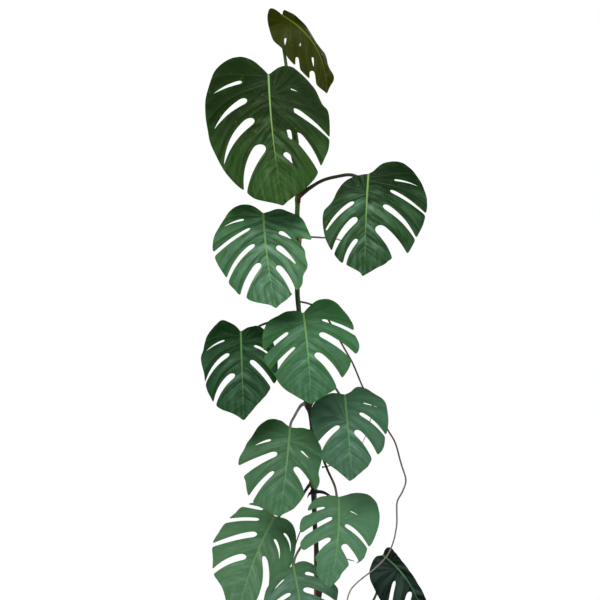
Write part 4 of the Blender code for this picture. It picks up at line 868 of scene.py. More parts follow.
def make_leaf(number, blade, looks):
    """Makes one blade, and returns where the stalk meets it and the unit way out of its underside."""
    seed = 1.7 * int(number)
    veins = {side: Veins(blade, side) for side in (-1, 1)}
    net, triangles, edge, loops = blade_net(blade)
    along, across = net[:, 0], net[:, 1]
    middle, normal = blade_point(blade, along, across), blade_normal(blade, along, across)
    height = relief(blade, seed, along, across, veins)

    spine = np.linspace(0.0, 0.97, 60)
    ribs = [np.stack([spine, midrib(blade, spine)], axis=1), *ridge_lines(blade, veins, loops)]
    rib_points, rib_normals, rib_heights = [], [], []
    for line in ribs:
        rib_points.append(blade_point(blade, *line.T))
        rib_normals.append(blade_normal(blade, *line.T))
        rib_heights.append(relief(blade, seed, *line.T, veins))
    middle, *rib_points = fit_to(middle, f"leaf_{number}", rib_points)

    count, half = len(net), BLADE_THICKNESS / 2
    vertices = [middle + normal * (height + half)[:, None], middle + normal * (height - half)[:, None]]
    centre = net[triangles].mean(axis=1)
    halves = np.where(centre[:, 1] < midrib(blade, centre[:, 0]), -1, 1)
    first, second, third = (middle[triangles[:, k]] for k in range(3))
    if np.sum(np.cross(second - first, third - first) * normal[triangles[:, 0]]) < 0:
        triangles = triangles[:, ::-1]
    rim = sorted(open_sides(triangles))
    faces = [*triangles, *(triangles[:, ::-1] + count), *[(b, a, a + count, b + count) for a, b in rim]]
    which = [0] * len(triangles) + [1] * len(triangles) + [0] * len(rim)
    both = {side: half_values(veins, blade, along, across, side) for side in (-1, 1)}
    table = np.where((halves == 1)[:, None, None], both[1][triangles], both[-1][triangles])
    corner = [table.reshape(-1, 3), table[:, ::-1].reshape(-1, 3)]
    rim_sides = [1 if across[b] > midrib(blade, along[b]) else -1 for _, b in rim]
    corner += [both[side][[b, a, a, b]] for side, (a, b) in zip(rim_sides, rim)]
    place = [np.stack([along, across, edge * 1000], axis=1)] * 2

    first = 2 * count
    for k, (line, points, way, rise) in enumerate(zip(ribs, rib_points, rib_normals, rib_heights)):
        share = np.linspace(0, 1, len(line))
        radii = RIB_RADIUS * (1 - 0.8 * share**0.8) if k == 0 else VEIN_RADIUS * (1 - 0.8 * share)
        radii = radii * blade_length(blade) / USUAL_LENGTH
        sunk = points + way * (rise - half - 0.25 * radii)[:, None]
        tube, sheet, _ = tube_mesh(sunk, radii, 8 if k == 0 else 6)
        vertices.append(tube)
        faces += shifted(sheet, first)
        which += [2] * len(sheet)
        corner.append(np.zeros((sum(len(f) for f in sheet), 3)))
        place.append(np.full((len(tube), 3), (0.5, 0.1, 20.0)))
        first += len(tube)
    made = add_mesh(f"blade_{number}", np.vstack(vertices), faces, looks, which, 62)
    add_values(made, "vein_map", np.vstack(corner), "CORNER")
    add_values(made, "leaf_place", np.vstack(place))
    stand_for(made, f"leaf_{number}")
    joint = np.array([0.025]), np.array([blade["bend"] * 0.1])
    seat = fit_to(blade_point(blade, along, across), f"leaf_{number}", [blade_point(blade, *joint)])[1]
    return seat[0], -blade_normal(blade, *joint)[0]


# ---------------------------------------------------------------- materials


def linear(color):
    """Scene colour of a 0-255 display colour."""
    return tuple(((c / 255 + 0.055) / 1.055) ** 2.4 if c > 10 else c / 255 / 12.92 for c in color) + (1.0,)


def add_node(tree, kind, inputs=(), **settings):
    made = tree.nodes.new("ShaderNode" + kind)
    for key, value in settings.items():
        setattr(made, key, value)
    for key, value in dict(inputs).items():
        if isinstance(value, bpy.types.NodeSocket):
            tree.links.new(value, made.inputs[key])
        else:
            made.inputs[key].default_value = value
    return made


def calc(tree, operation, *values):
    return add_node(tree, "Math", dict(enumerate(values)), operation=operation).outputs[0]


def times(tree, a, b):
    return calc(tree, "MULTIPLY", a, b)


def spread(tree, value, low, high, to_low=0.0, to_high=1.0):
    """Smooth step of a value from low to high."""
    settings = {"Value": value, "From Min": low, "From Max": high, "To Min": to_low, "To Max": to_high}
    return add_node(tree, "MapRange", settings, interpolation_type="SMOOTHSTEP").outputs[0]


def blend(tree, factor, a, b, kind="MIX"):
    inputs = {0: factor, 6: a, 7: b}
    return add_node(tree, "Mix", inputs, data_type="RGBA", blend_type=kind).outputs[2]


def noise_node(tree, scale, detail=3.0, roughness=0.55, vector=None, distortion=0.0):
    inputs = {"Scale": scale, "Detail": detail, "Roughness": roughness, "Distortion": distortion}
    inputs["Vector"] = vector or add_node(tree, "TexCoord").outputs["Object"]
    return add_node(tree, "TexNoise", inputs).outputs[0]


def new_look(name, roughness, **values):
    look = bpy.data.materials.new(name)
    look.use_nodes = True
    shader = look.node_tree.nodes["Principled BSDF"]
    shader.inputs["Roughness"].default_value = roughness
    for key, value in values.items():
        shader.inputs[key.replace("_", " ")].default_value = value
    return look, look.node_tree, shader


def finish_look(tree, shader, color, height=None, distance=0.001, strength=0.5, roughness=None):
    tree.links.new(color, shader.inputs["Base Color"])
    if height is not None:
        bump = add_node(tree, "Bump", {"Height": height, "Distance": distance, "Strength": strength})
        tree.links.new(bump.outputs[0], shader.inputs["Normal"])
    if roughness is not None:
        tree.links.new(roughness, shader.inputs["Roughness"])


def cell_edges(tree, scale):
    """Distance to the nearest edge of small cells, for the finest net of veins."""
    inputs = {"Vector": add_node(tree, "TexCoord").outputs["Object"], "Scale": scale}
    return add_node(tree, "TexVoronoi", inputs, feature="DISTANCE_TO_EDGE").outputs["Distance"]


def leaf_values(tree):
    """What the leaf meshes carry: mm from the side vein, along, mm from the margin, phase, offset in mm."""
    veins = add_node(tree, "Attribute", attribute_name="vein_map").outputs["Vector"]
    place = add_node(tree, "Attribute", attribute_name="leaf_place").outputs["Vector"]
    phase, offset, span = list(add_node(tree, "SeparateXYZ", {0: veins}).outputs)
    place = add_node(tree, "SeparateXYZ", {0: place}).outputs
    off_vein = times(tree, calc(tree, "SUBTRACT", calc(tree, "FRACT", phase), 0.5), span)
    return off_vein, place[0], place[2], phase, offset


def upper_look(number, colors):
    """Upper side of one blade: painted sheen and shade by the side veins, painted light and shade at the
    base, dark margin.
    """
    look, tree, shader = new_look(f"leaf_{number}_upper", 0.42)
    off_vein, along, edge, phase, offset = leaf_values(tree)
    reach = calc(tree, "ABSOLUTE", offset)
    aside = calc(tree, "ABSOLUTE", off_vein)
    mottle = noise_node(tree, 38.0, 4.0)
    grain = noise_node(tree, 420.0, 2.0)
    # Streaks along the side veins, which paint sheen and shade onto the blade and also raise its bump
    where = {0: times(tree, phase, 5.0), 1: times(tree, offset, 0.024), 2: along}
    sheen_streaks = noise_node(tree, 1.0, 4.0, 0.62, add_node(tree, "CombineXYZ", where).outputs[0])
    where = {0: times(tree, offset, 0.09), 1: times(tree, along, 2.5)}
    fan = noise_node(tree, 1.0, 3.0, 0.55, add_node(tree, "CombineXYZ", where).outputs[0])
    tip = spread(tree, along, 0.60, 0.85, 0.0, 0.65)
    sheen_streaks = add_node(tree, "Mix", {0: tip, 2: sheen_streaks, 3: fan}, data_type="FLOAT").outputs[0]
    cells = cell_edges(tree, 260.0)

    # The base colour near the junction, with the light and shade there painted in, fades out along the blade
    mixed = calc(tree, "ADD", along, times(tree, mottle, 0.18))
    base = spread(tree, mixed, *colors["base_fade"], 1.0, 0.0)
    color = blend(tree, base, linear(colors["blade"]), linear(colors["base"]))
    # Painted light: a paler colour over the -X half of the blade, on leaf 12
    if "lit_left_half" in colors:
        color = blend(tree, spread(tree, offset, -16.0, 0.0, 0.8, 0.0), color, linear(colors["lit_left_half"]))
    fringe = times(tree, spread(tree, edge, 0.0, 16.0, 0.75, 0.0), spread(tree, mottle, 0.35, 0.65))
    color = blend(tree, fringe, color, linear(colors["fringe"]))
    # Painted sheen: paler on the base side of each side vein and in the streaks, weaker at the base and the
    # margin
    sheen = spread(tree, reach, 8.0, 90.0, 1.0, 0.25)
    sheen = times(tree, sheen, spread(tree, along, -0.05, 0.35, 0.25, 1.0))
    sheen = times(tree, sheen, spread(tree, mottle, 0.3, 0.6, 0.45, 1.0))
    ladder = calc(tree, "SUBTRACT", 1.0, tip)
    lit = times(tree, spread(tree, off_vein, -18.0, -4.0), spread(tree, off_vein, -4.0, 1.0, ladder, 0.0))
    lit = calc(tree, "ADD", times(tree, lit, 0.45), spread(tree, sheen_streaks, 0.42, 0.68, 0.0, 0.85))
    lit = times(tree, times(tree, lit, sheen), colors.get("streak", 0.8))
    lit = times(tree, lit, calc(tree, "SUBTRACT", 1.0, times(tree, base, 0.65)))
    color = blend(tree, lit, color, linear(colors["sheen"]))
    # Painted shade: darker on the tip side of each side vein and in the dark streaks
    shaded = spread(tree, off_vein, 0.0, 4.0, 0.0, ladder)
    shaded = times(tree, shaded, spread(tree, off_vein, 4.0, 16.0, 0.55, 0.0))
    shaded = calc(tree, "MAXIMUM", shaded, spread(tree, sheen_streaks, 0.30, 0.50, 0.65, 0.0))
    color = blend(tree, shaded, color, linear(colors["base"]))
    color = blend(tree, spread(tree, cells, 0.0, 0.10, 0.08, 0.0), color, linear(colors["sheen"]))
    thin = spread(tree, reach, 5.0, 120.0, 0.8, 0.35)
    thread = calc(tree, "LESS_THAN", aside, thin)
    thread = times(tree, thread, spread(tree, phase, -1.5, 0.5, 0.06, 0.26))
    color = blend(tree, thread, color, linear(colors["rib"]))
    rib_width = spread(tree, along, 0.0, 0.95, 3.4, 0.8)
    rib = spread(tree, calc(tree, "DIVIDE", reach, rib_width), 0.55, 1.0, 1.0, 0.0)
    rib = times(tree, rib, spread(tree, along, 0.25, 0.95, 1.0, 0.30))
    color = blend(tree, rib, color, linear(colors["rib"]))
    color = blend(tree, spread(tree, edge, 0.0, 1.0, 0.45, 0.0), color, linear(colors["fringe"]))
    specks = spread(tree, noise_node(tree, 95.0, 1.0, 0.4), 0.72, 0.78)
    color = blend(tree, times(tree, specks, 0.4), color, linear((96, 92, 40)))

    raised = calc(tree, "ADD", times(tree, cells, 2.0), times(tree, grain, 0.4))
    raised = calc(tree, "ADD", raised, times(tree, sheen_streaks, 1.6))
    raised = calc(tree, "ADD", raised, spread(tree, aside, 0.0, 1.6, -0.5, 0.0))
    tree.links.new(calc(tree, "MULTIPLY_ADD", lit, 0.26, 0.03), shader.inputs["Specular IOR Level"])
    finish_look(tree, shader, color, raised, 0.0007, 0.5, spread(tree, mottle, 0.3, 0.7, 0.36, 0.50))
    return look


def under_look(name, colors):
    """Underside of the blades: paler and matt, with the net of veins clearer."""
    look, tree, shader = new_look(name, 0.6, Specular_IOR_Level=0.3)
    off_vein, along, edge = leaf_values(tree)[:3]
    aside = calc(tree, "ABSOLUTE", off_vein)
    mottle = noise_node(tree, 30.0, 4.0)
    cells = cell_edges(tree, 230.0)
    color = blend(tree, mottle, linear(colors["blade"]), linear(colors["base"]))
    color = blend(tree, spread(tree, along, -0.1, 0.5, 0.6, 0.0), color, linear(colors["base"]))
    for value, high, strength in ((aside, 3.0, 0.45), (cells, 0.12, 0.30), (edge, 1.2, 0.5)):
        low = 0.3 if value is aside else 0.0
        color = blend(tree, spread(tree, value, low, high, strength, 0.0), color, linear(colors["rib"]))
    raised = calc(tree, "SUBTRACT", 0.5, cells)
    finish_look(tree, shader, color, raised, 0.0006, 0.5)
    return look


def rib_look(name, colors):
    look, tree, shader = new_look(name, 0.5, Specular_IOR_Level=0.4)
    streaks = noise_node(tree, 160.0, 3.0)
    color = blend(tree, streaks, linear(colors["rib"]), linear(colors["blade"]))
    finish_look(tree, shader, color, streaks, 0.0004, 0.4)
    return look


def ramp_look(name, stops, roughness, spots=None, bump=0.0006, scale=260.0, grain=(1, 1, 1)):
    """Stem-like material: colours along the piece's share attribute, streaked and spotted.

    The first stop is at 0 and the last at 1, where the ramp's own two ends are.
    """
    look, tree, shader = new_look(name, roughness, Specular_IOR_Level=0.4)
    share = add_node(tree, "Attribute", attribute_name="share").outputs["Fac"]
    place = add_node(tree, "TexCoord").outputs["Object"]
    stretched = add_node(tree, "Mapping", {"Vector": place, "Scale": grain}).outputs[0]
    streaks = noise_node(tree, scale, 4.0, 0.6, stretched)
    patches = noise_node(tree, scale * 0.22, 3.0)
    shift = times(tree, calc(tree, "SUBTRACT", patches, 0.5), 0.07)
    ramp = add_node(tree, "ValToRGB", {"Fac": calc(tree, "ADD", share, shift)})
    elements = ramp.color_ramp.elements
    elements[0].color, elements[1].color = linear(stops[0][1]), linear(stops[-1][1])
    for at, shade in stops[1:-1]:
        elements.new(at).color = linear(shade)
    streaked = times(tree, spread(tree, streaks, 0.4, 0.7), 0.35)
    color = blend(tree, streaked, ramp.outputs[0], linear((20, 20, 8)))
    if spots:
        spotted = spread(tree, noise_node(tree, scale * 1.6, 2.0), 0.60, 0.70)
        color = blend(tree, times(tree, spotted, 0.7), color, linear(spots))
    rough = spread(tree, patches, 0.3, 0.7, roughness - 0.1, roughness + 0.1)
    finish_look(tree, shader, color, streaks, bump, 0.6, rough)
    return look


def speckled_look(name, dark, pale, roughness, scale, height, spots=None, **values):
    """Matt material of two colours, with a fine rough surface and a few spots."""
    look, tree, shader = new_look(name, roughness, **values)
    broad, fine = noise_node(tree, scale, 4.0), noise_node(tree, scale * 9, 3.0)
    color = blend(tree, spread(tree, broad, 0.3, 0.7), linear(dark), linear(pale))
    color = blend(tree, times(tree, spread(tree, fine, 0.35, 0.75), 0.30), color, linear(dark))
    if spots:
        spotted = spread(tree, noise_node(tree, scale * 4, 2.0), 0.62, 0.70)
        color = blend(tree, times(tree, spotted, 0.8), color, linear(spots))
    rough = spread(tree, broad, 0.3, 0.7, roughness - 0.07, roughness + 0.07)
    finish_look(tree, shader, color, fine, height, 0.6, rough)
    return look


# ---------------------------------------------------------------- stem, stalks and roots


def fine_line(route, step):
    return even_steps(smooth_curve(route, 12), step)


def rough_radii(line, radii, count, seed, rough, lengthwise=60.0):
    """Radii round each point of a line, with low bumps."""
    angles = angles_round(count)
    out = np.empty((len(line), count))
    for row, (p, r) in enumerate(zip(line, radii)):
        for k, turn in enumerate(angles):
            at = (math.cos(turn) * 1.3 + seed, math.sin(turn) * 1.3, p[2] * lengthwise + p[0] * lengthwise)
            out[row, k] = r * (1 + rough * noise.noise(at))
    return out


def add_tube(name, line, radii, count, look, seed, rough):
    vertices, faces, share = tube_mesh(line, rough_radii(line, radii, count, seed, rough), count)
    made = add_mesh(name, vertices, faces, [look])
    add_values(made, "share", share)
    return made


def bumps_at(places, here, width):
    """Sum of smooth bumps of height 1."""
    return sum(np.exp(-(((here - at) / width) ** 2)) for at in places)


def make_stalk(number, seat, back, look):
    """Leaf stalk: a wide channelled foot at the stem, a slim middle and a swollen joint under the blade."""
    end = seat + back * BLADE_THICKNESS
    line = fine_line(STALKS[number] + [tuple(end + back * STALK_APPROACH), tuple(end)], 0.004)
    share = np.linspace(0, 1, len(line))
    base = np.clip(1 - share / 0.28, 0, 1)
    radii = STALK_RADIUS + (STALK_BASE_RADIUS - STALK_RADIUS) * base**1.4
    radii *= STALK_GROWTH.get(number, 1)
    joint = 1 - JOINT_DISTANCE / max(np.linalg.norm(np.diff(line, axis=0), axis=1).sum(), 0.08)
    radii *= 1 + 0.20 * bumps_at([joint], share, 0.045) - 0.10 * share
    radii[-3:] *= (0.98, 0.9, 0.75)
    full = rough_radii(line, radii, STALK_SIDES, int(number), 0.05)
    channel = np.exp(-((np.arange(STALK_SIDES) - STALK_SIDES * 0.25) / 1.3) ** 2)
    full *= 1 - 0.28 * np.sqrt(base)[:, None] * channel[None] - 0.06 * channel[None]
    vertices, faces, share = tube_mesh(line, full, STALK_SIDES)
    made = add_mesh(f"stalk_{number}", vertices, faces, [look])
    add_values(made, "share", share)
    stand_for(made, f"leaf_stalk_{number}")


def stem_radius(height):
    bottom, top = STEM_LINE[0][2], STEM_LINE[-1][2]
    share = np.clip((height - bottom) / (top - bottom), 0, 1)
    return STEM_BASE_RADIUS + (STEM_TOP_RADIUS - STEM_BASE_RADIUS) * share**0.7


def make_stem(look):
    """Stem with a swollen ring and a scar at each node, and low ribs along it."""
    line = fine_line(STEM_LINE, 0.003)
    height = line[:, 2]
    nodes = [route[0][2] - 0.006 for route in STALKS.values()] + BARE_NODES
    rings, scars = bumps_at(nodes, height, 0.0065), bumps_at([n + 0.010 for n in nodes], height, 0.003)
    radii = stem_radius(height) * (1 + 0.16 * rings - 0.07 * scars)
    made = add_tube("stem_bark", line, radii, 24, look, 3.0, 0.10)
    stand_for(made, "stem")


def make_sheath(name, height, way, lean, width, length, look):
    """Dry papery sheath that hugs a node and ends in a torn point. way is the angle from +X that it faces."""
    line = smooth_curve(STEM_LINE, 12)
    at = line[np.argmin(abs(line[:, 2] - height))]
    rows, columns = 14, 9
    out = np.array([math.cos(way), math.sin(way), 0])
    across = np.array([-out[1], out[0], 0])
    points = []
    for layer in (0.0, SHEATH_THICKNESS):
        for row in range(rows):
            t = row / (rows - 1)
            half = width * (1 - t**1.6) ** 0.7 + 0.0006
            radius = stem_radius(height) * 1.12 + layer + lean * t**1.8
            for column in range(columns):
                s = 2 * column / (columns - 1) - 1
                turn = s * half / (stem_radius(height) * 1.15)
                p = np.array(at) + radius * (math.cos(turn) * out + math.sin(turn) * across)
                p[2] += t * length * (1 - 0.12 * s * s) + 0.001 * math.sin(7 * s + 9 * t)
                points.append(p)
    faces, size = [], rows * columns
    for row in range(rows - 1):
        for column in range(columns - 1):
            a = row * columns + column
            b, c, d = a + 1, a + columns + 1, a + columns
            faces += [(a, b, c, d), (a + size, d + size, c + size, b + size)]
    edge = list(range(columns)) + [row * columns + columns - 1 for row in range(1, rows)]
    edge += [(rows - 1) * columns + column for column in range(columns - 2, -1, -1)]
    edge += [row * columns for row in range(rows - 2, 0, -1)]
    for a, b in zip(edge, edge[1:] + edge[:1]):
        faces.append((b, a, a + size, b + size))
    made = add_mesh(name, points, faces, [look])
    add_values(made, "share", np.tile(np.repeat(np.arange(rows) / (rows - 1), columns), 2))
    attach(made, "root")


def make_root(name, radius, route, look):
    """Aerial root: wiry, slightly knobbly, tapering to a rounded tip."""
    line = fine_line(route, 0.004)
    share = np.linspace(0, 1, len(line))
    radii = radius * (1 - 0.35 * share)
    if name not in SOIL_ROOTS:
        radii *= np.clip((1.0 - share) / 0.06, 0.25, 1) ** 0.5
    wobble = np.zeros(line.shape)
    for k, axis in np.ndindex(*line.shape):
        wobble[k, axis] = noise.noise((k * 0.11, radius * 900, axis * 7.3))
    line = line + ROOT_WOBBLE * wobble
    made = add_tube(name + "_bark", line, radii, 10, look, radius * 2000, 0.16)
    stand_for(made, name)


# ---------------------------------------------------------------- pot, soil, cane and ties


def lathe_mesh(profile, count):
    """Vertices and faces of an open profile of (radius, height) turned about Z."""
    turns = angles_round(count)
    vertices = [(r * math.cos(t), r * math.sin(t), z) for r, z in profile for t in turns]
    return vertices, bands(len(profile), count)


def make_pot(look):
    """Blow-moulded pot: rolled rim, three faint rings in the wall, and drain holes in the floor."""
    low, high = corners(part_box("pot"))
    rim, height = (high[0] - low[0]) / 2, high[2]
    foot = rim * POT_FOOT_SHARE[0] / POT_FOOT_SHARE[1]
    skirt = height - RIM_HEIGHT

    def wall(z):
        return foot + (rim - RIM_OUT - foot) * (z - 0.004) / (skirt - 0.004)

    outside = [(foot - 0.004, 0.0), (foot - 0.0015, 0.0006), (foot, 0.004)]
    for z in np.arange(0.010, skirt - 0.004, 0.005):
        rings = bumps_at((0.030, skirt - 0.018, skirt - 0.034), z, RING_WIDTH)
        outside.append((wall(z) - RING_DEPTH * rings, z))
    outside += [(rim - RIM_OUT, skirt), (rim - 0.0012, skirt + 0.0008), (rim - 0.0003, skirt + 0.0022)]
    for t in (0.25, 0.5, 0.75):
        waist = 0.0004 * math.sin(math.pi * t)
        outside.append((rim - 0.0003 - waist, skirt + 0.0022 + (RIM_HEIGHT - 0.006) * t))
    for t in np.linspace(0, 1.5, 5):
        outside.append((rim - 0.0019 + 0.0019 * math.cos(t), height - 0.0026 + 0.0026 * math.sin(t)))
    mouth = rim - RIM_OUT - POT_WALL
    outside += [(mouth + 0.0015, height), (mouth + 0.0003, height - 0.0006), (mouth, height - 0.002)]
    outside += [(wall(z) - POT_WALL, z) for z in np.arange(skirt - 0.002, 0.02, -0.02)]
    outside += [(foot - POT_WALL, POT_FLOOR + 0.004), (foot - 0.006, POT_FLOOR)]
    vertices, faces = lathe_mesh(outside, POT_SIDES)
    holes = [circle((DRAIN_CIRCLE * math.cos(t), DRAIN_CIRCLE * math.sin(t)), DRAIN_RADIUS, 20)
             for t in (np.arange(DRAIN_COUNT) + 0.5) * 2 * math.pi / DRAIN_COUNT]
    loops = [circle((0, 0), r, POT_SIDES) for r in (outside[0][0], outside[-1][0])]
    for loop, z, up in ((loops[0], 0.0, False), (loops[1], POT_FLOOR, True)):
        net, triangles = net_of([loop, *holes], [])
        centres = net[triangles].mean(axis=1)
        keep = np.all([~inside(centres, hole) for hole in holes], axis=0)
        triangles = triangles[keep] if up else triangles[keep][:, ::-1]
        first = len(vertices)
        vertices += [(p[0], p[1], z) for p in net]
        faces += shifted(triangles, first)
    for hole in holes:
        first, count = len(vertices), len(hole)
        vertices += [(p[0], p[1], z) for z in (0.0, POT_FLOOR) for p in hole]
        for k in range(count):
            here, after = first + k, first + (k + 1) % count
            faces.append((after, here, here + count, after + count))
    made = add_mesh("pot_shell", vertices, faces, [look], sharp=40)
    weld(made)
    stand_for(made, "pot")


def weld(made):
    """Joins vertices that lie in one place, and turns every face outwards."""
    work = bmesh.new()
    work.from_mesh(made.data)
    bmesh.ops.remove_doubles(work, verts=work.verts, dist=1e-5)
    bmesh.ops.recalc_face_normals(work, faces=work.faces)
    work.to_mesh(made.data)
    work.free()


def soil_height(x, y, top, radius):
    """Surface of the soil: a low mound, sunk a little at the wall, with crumbs."""
    out = math.hypot(x, y) / radius
    crumbs = noise.fractal(Vector((x, y, 0.3)) * 55, 0.7, 2.1, 4) * 0.0028
    crumbs += noise.noise(Vector((x, y, 0.7)) * 17) * 0.0030
    return top - 0.0050 * out**3 + crumbs * (1 - 0.6 * out**6) - 0.0012


def make_soil(looks):
    """Soil with chips on it. looks are those of the soil, and of chips of bark, perlite and grit."""
    low, high = corners(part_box("soil"))
    radius = (high[0] - low[0]) / 2 - 0.0004
    top, foot = high[2], radius - 0.030
    edge_z = top - 0.0062
    grid = np.mgrid[-radius:radius:SOIL_STEP, -radius:radius:SOIL_STEP].reshape(2, -1).T
    grid = grid[np.hypot(*grid.T) < radius - 0.6 * SOIL_STEP]
    net, triangles = net_of([circle((0, 0), radius, POT_SIDES)], grid)
    vertices = []
    for x, y in net:
        inner = math.hypot(x, y) < radius - 0.001
        vertices.append((x, y, soil_height(x, y, top, radius) if inner else edge_z))
    faces = [tuple(t) for t in triangles]
    which = [0] * len(faces)
    first = len(vertices)
    ring, sheet = lathe_mesh([(foot, low[2]), (radius, edge_z)], POT_SIDES)
    vertices += ring
    faces += shifted(sheet, first) + [tuple(range(first, first + POT_SIDES))[::-1]]
    which += [0] * (len(sheet) + 1)
    draw = random.Random(5)
    ball, sheet = ball_mesh()
    for k in range(CHIP_COUNT):
        kind = draw.choices((1, 2, 3), CHIP_SHARES)[0]
        out, turn = (radius - 0.010) * math.sqrt(draw.random()), draw.uniform(0, 2 * math.pi)
        x, y = out * math.cos(turn), out * math.sin(turn)
        size = [draw.uniform(*sizes) for sizes in CHIP_SIZES][kind - 1]
        bark_shape = (1.0, draw.uniform(0.4, 0.75), draw.uniform(0.18, 0.32))
        shape = (bark_shape, (1, 1, 0.9), (1, 0.8, 0.6))[kind - 1]
        way = Euler((draw.uniform(-0.4, 0.4), draw.uniform(-0.4, 0.4), draw.uniform(0, 6.3))).to_matrix()
        z = soil_height(x, y, top, radius) + size * shape[2] * 0.35
        at = Vector((x, y, min(z, top - size * 0.45)))
        first = len(vertices)
        for p in ball:
            rough = 1 + 0.35 * noise.noise(Vector(p) * 1.7 + Vector((k, 0, 0)))
            corner = Vector([max(-0.75, min(0.75, c)) if kind == 1 else c for c in p])
            vertices.append(tuple(at + way @ Vector([c * s * size * rough for c, s in zip(corner, shape)])))
        faces += shifted(sheet, first)
        which += [kind] * len(sheet)
    made = add_mesh("potting_mix", vertices, faces, looks, which, 55)
    weld(made)
    stand_for(made, "soil")


def ball_mesh():
    """Unit ball of triangles, for the chips in the soil."""
    work = bmesh.new()
    bmesh.ops.create_icosphere(work, subdivisions=2, radius=1)
    found = [tuple(v.co) for v in work.verts], [tuple(v.index for v in f.verts) for f in work.faces]
    work.free()
    return found


def make_cane(look):
    """Bamboo cane: a raised lip and a groove at each node, and a cut top end."""
    low, high = corners(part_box("cane"))
    middle, radius = (low + high) / 2, (high[0] - low[0]) / 2
    heights = np.unique(np.r_[np.arange(low[2] + 0.002, high[2] - 0.002, 0.008),
                              np.concatenate([at + np.linspace(-0.009, 0.009, 13) for at in CANE_NODES])])
    line = np.stack([np.full(len(heights), middle[0]), np.full(len(heights), middle[1]), heights], axis=1)
    lips = bumps_at(CANE_NODES, heights, 0.0022)
    grooves = bumps_at([n + 0.004 for n in CANE_NODES], heights, 0.0018)
    radii = radius * (0.90 + 0.12 * lips - 0.08 * grooves)
    made = add_tube("cane_wood", line, radii, 20, look, 1.0, 0.03)
    stand_for(made, "cane")


def strap_mesh(line, ways, width, closed):
    """Vertices and faces of a strap: rings of eight points round a line. ways point out of its face."""
    corner = [(-1, -0.35), (-0.8, -0.5), (0.8, -0.5), (1, -0.35)]
    shape = corner + [(-u, -w) for u, w in corner]
    up = np.array([0, 0, 1.0])
    vertices = []
    for k, (p, way) in enumerate(zip(line, ways)):
        half = width[k] / 2
        for u, w in shape:
            thick = w * STRAP * (1 + 0.16 * math.sin(2.6 * k + 3 * u))
            vertices.append(p + up * (u * half) + way * thick)
    faces, count = [], len(shape)
    for row in range(len(line) if closed else len(line) - 1):
        for k in range(count):
            a, b = row * count + k, row * count + (k + 1) % count
            ahead = (row + 1) % len(line) * count - row * count
            faces.append((a, b, b + ahead, a + ahead))
    if not closed:
        faces += [tuple(range(count))[::-1], tuple(range((len(line) - 1) * count, len(line) * count))]
    return vertices, faces


def make_tie(look):
    """Fabric strap round stem and cane, with a knot in front and two free tails."""
    low, high = corners(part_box("tie"))
    cane_low, cane_high = corners(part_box("cane"))
    cane, cane_radius = (cane_low + cane_high) / 2, (cane_high[0] - cane_low[0]) / 2
    height = (low[2] + high[2]) / 2 + 0.002
    stem_line = smooth_curve(STEM_LINE, 12)
    stem = stem_line[np.argmin(abs(stem_line[:, 2] - height))]
    turns = np.arange(0, 2 * math.pi, math.pi / 40)
    directions = np.stack([np.cos(turns), np.sin(turns), 0 * turns], axis=1)
    rounds = [(np.array([stem[0], stem[1], height]), stem_radius(height)),
              (np.array([cane[0], cane[1], height]), cane_radius)]
    line = []
    for way in directions:
        centre, radius = max(rounds, key=lambda found: found[0] @ way + found[1])
        line.append(centre + way * (radius + STRAP_GAP))
    line = np.array(line)
    line[:, 2] += 0.0006 * np.sin(3 * turns)
    vertices, faces = strap_mesh(line, directions, np.full(len(line), TIE_WIDTH * 0.92), True)
    front = np.array([stem[0], stem[1] - stem_radius(height) - 0.0016, height])
    for points in TIE_TAILS:
        tail = even_steps(smooth_curve(front + np.array(points), 6), TAIL_STEP)
        run = np.gradient(tail, axis=0)
        ways = np.cross(run, (0, 0, 1.0))
        ways /= np.linalg.norm(ways, axis=1)[:, None]
        width = TIE_WIDTH * (0.90 - 0.30 * np.linspace(0, 1, len(tail)) ** 2)
        more, sheet = strap_mesh(tail, ways, width, False)
        faces += shifted(sheet, len(vertices))
        vertices += more
    knot = []
    for t in np.linspace(0, 1, 17):
        turn = 2 * math.pi * t
        x, y = 0.0042 * math.cos(turn) + 0.001, -0.0016 - 0.0010 * math.sin(turn)
        knot.append(front + (x, y, 0.0034 * math.sin(turn)))
    more, sheet, _ = tube_mesh(np.array(knot), np.full(len(knot), KNOT_RADIUS), 10)
    faces += shifted(sheet, len(vertices))
    made = add_mesh("strap", np.vstack([vertices, more]), faces, [look], sharp=60)
    stand_for(made, "tie")


def make_clip(look):
    """Wire clip with a bulb at its left end."""
    low, high = corners(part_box("clip"))
    left = (low[0] + 0.002, high[1] - 0.002, low[2] + 0.003)
    middle = ((low[0] + high[0]) / 2, low[1] + 0.0016, (low[2] + high[2]) / 2)
    right = (high[0] - 0.001, high[1] - 0.002, high[2] - 0.002)
    line = smooth_curve([left, middle, right], 14)
    share = np.linspace(0, 1, len(line))
    radii = 0.0015 + 0.0016 * np.exp(-((share / 0.12) ** 2)) + 0.0007 * np.exp(-(((share - 1) / 0.08) ** 2))
    made = add_tube("wire_clip", line, radii, 12, look, 2.0, 0.04)
    stand_for(made, "clip")


# ---------------------------------------------------------------- scene


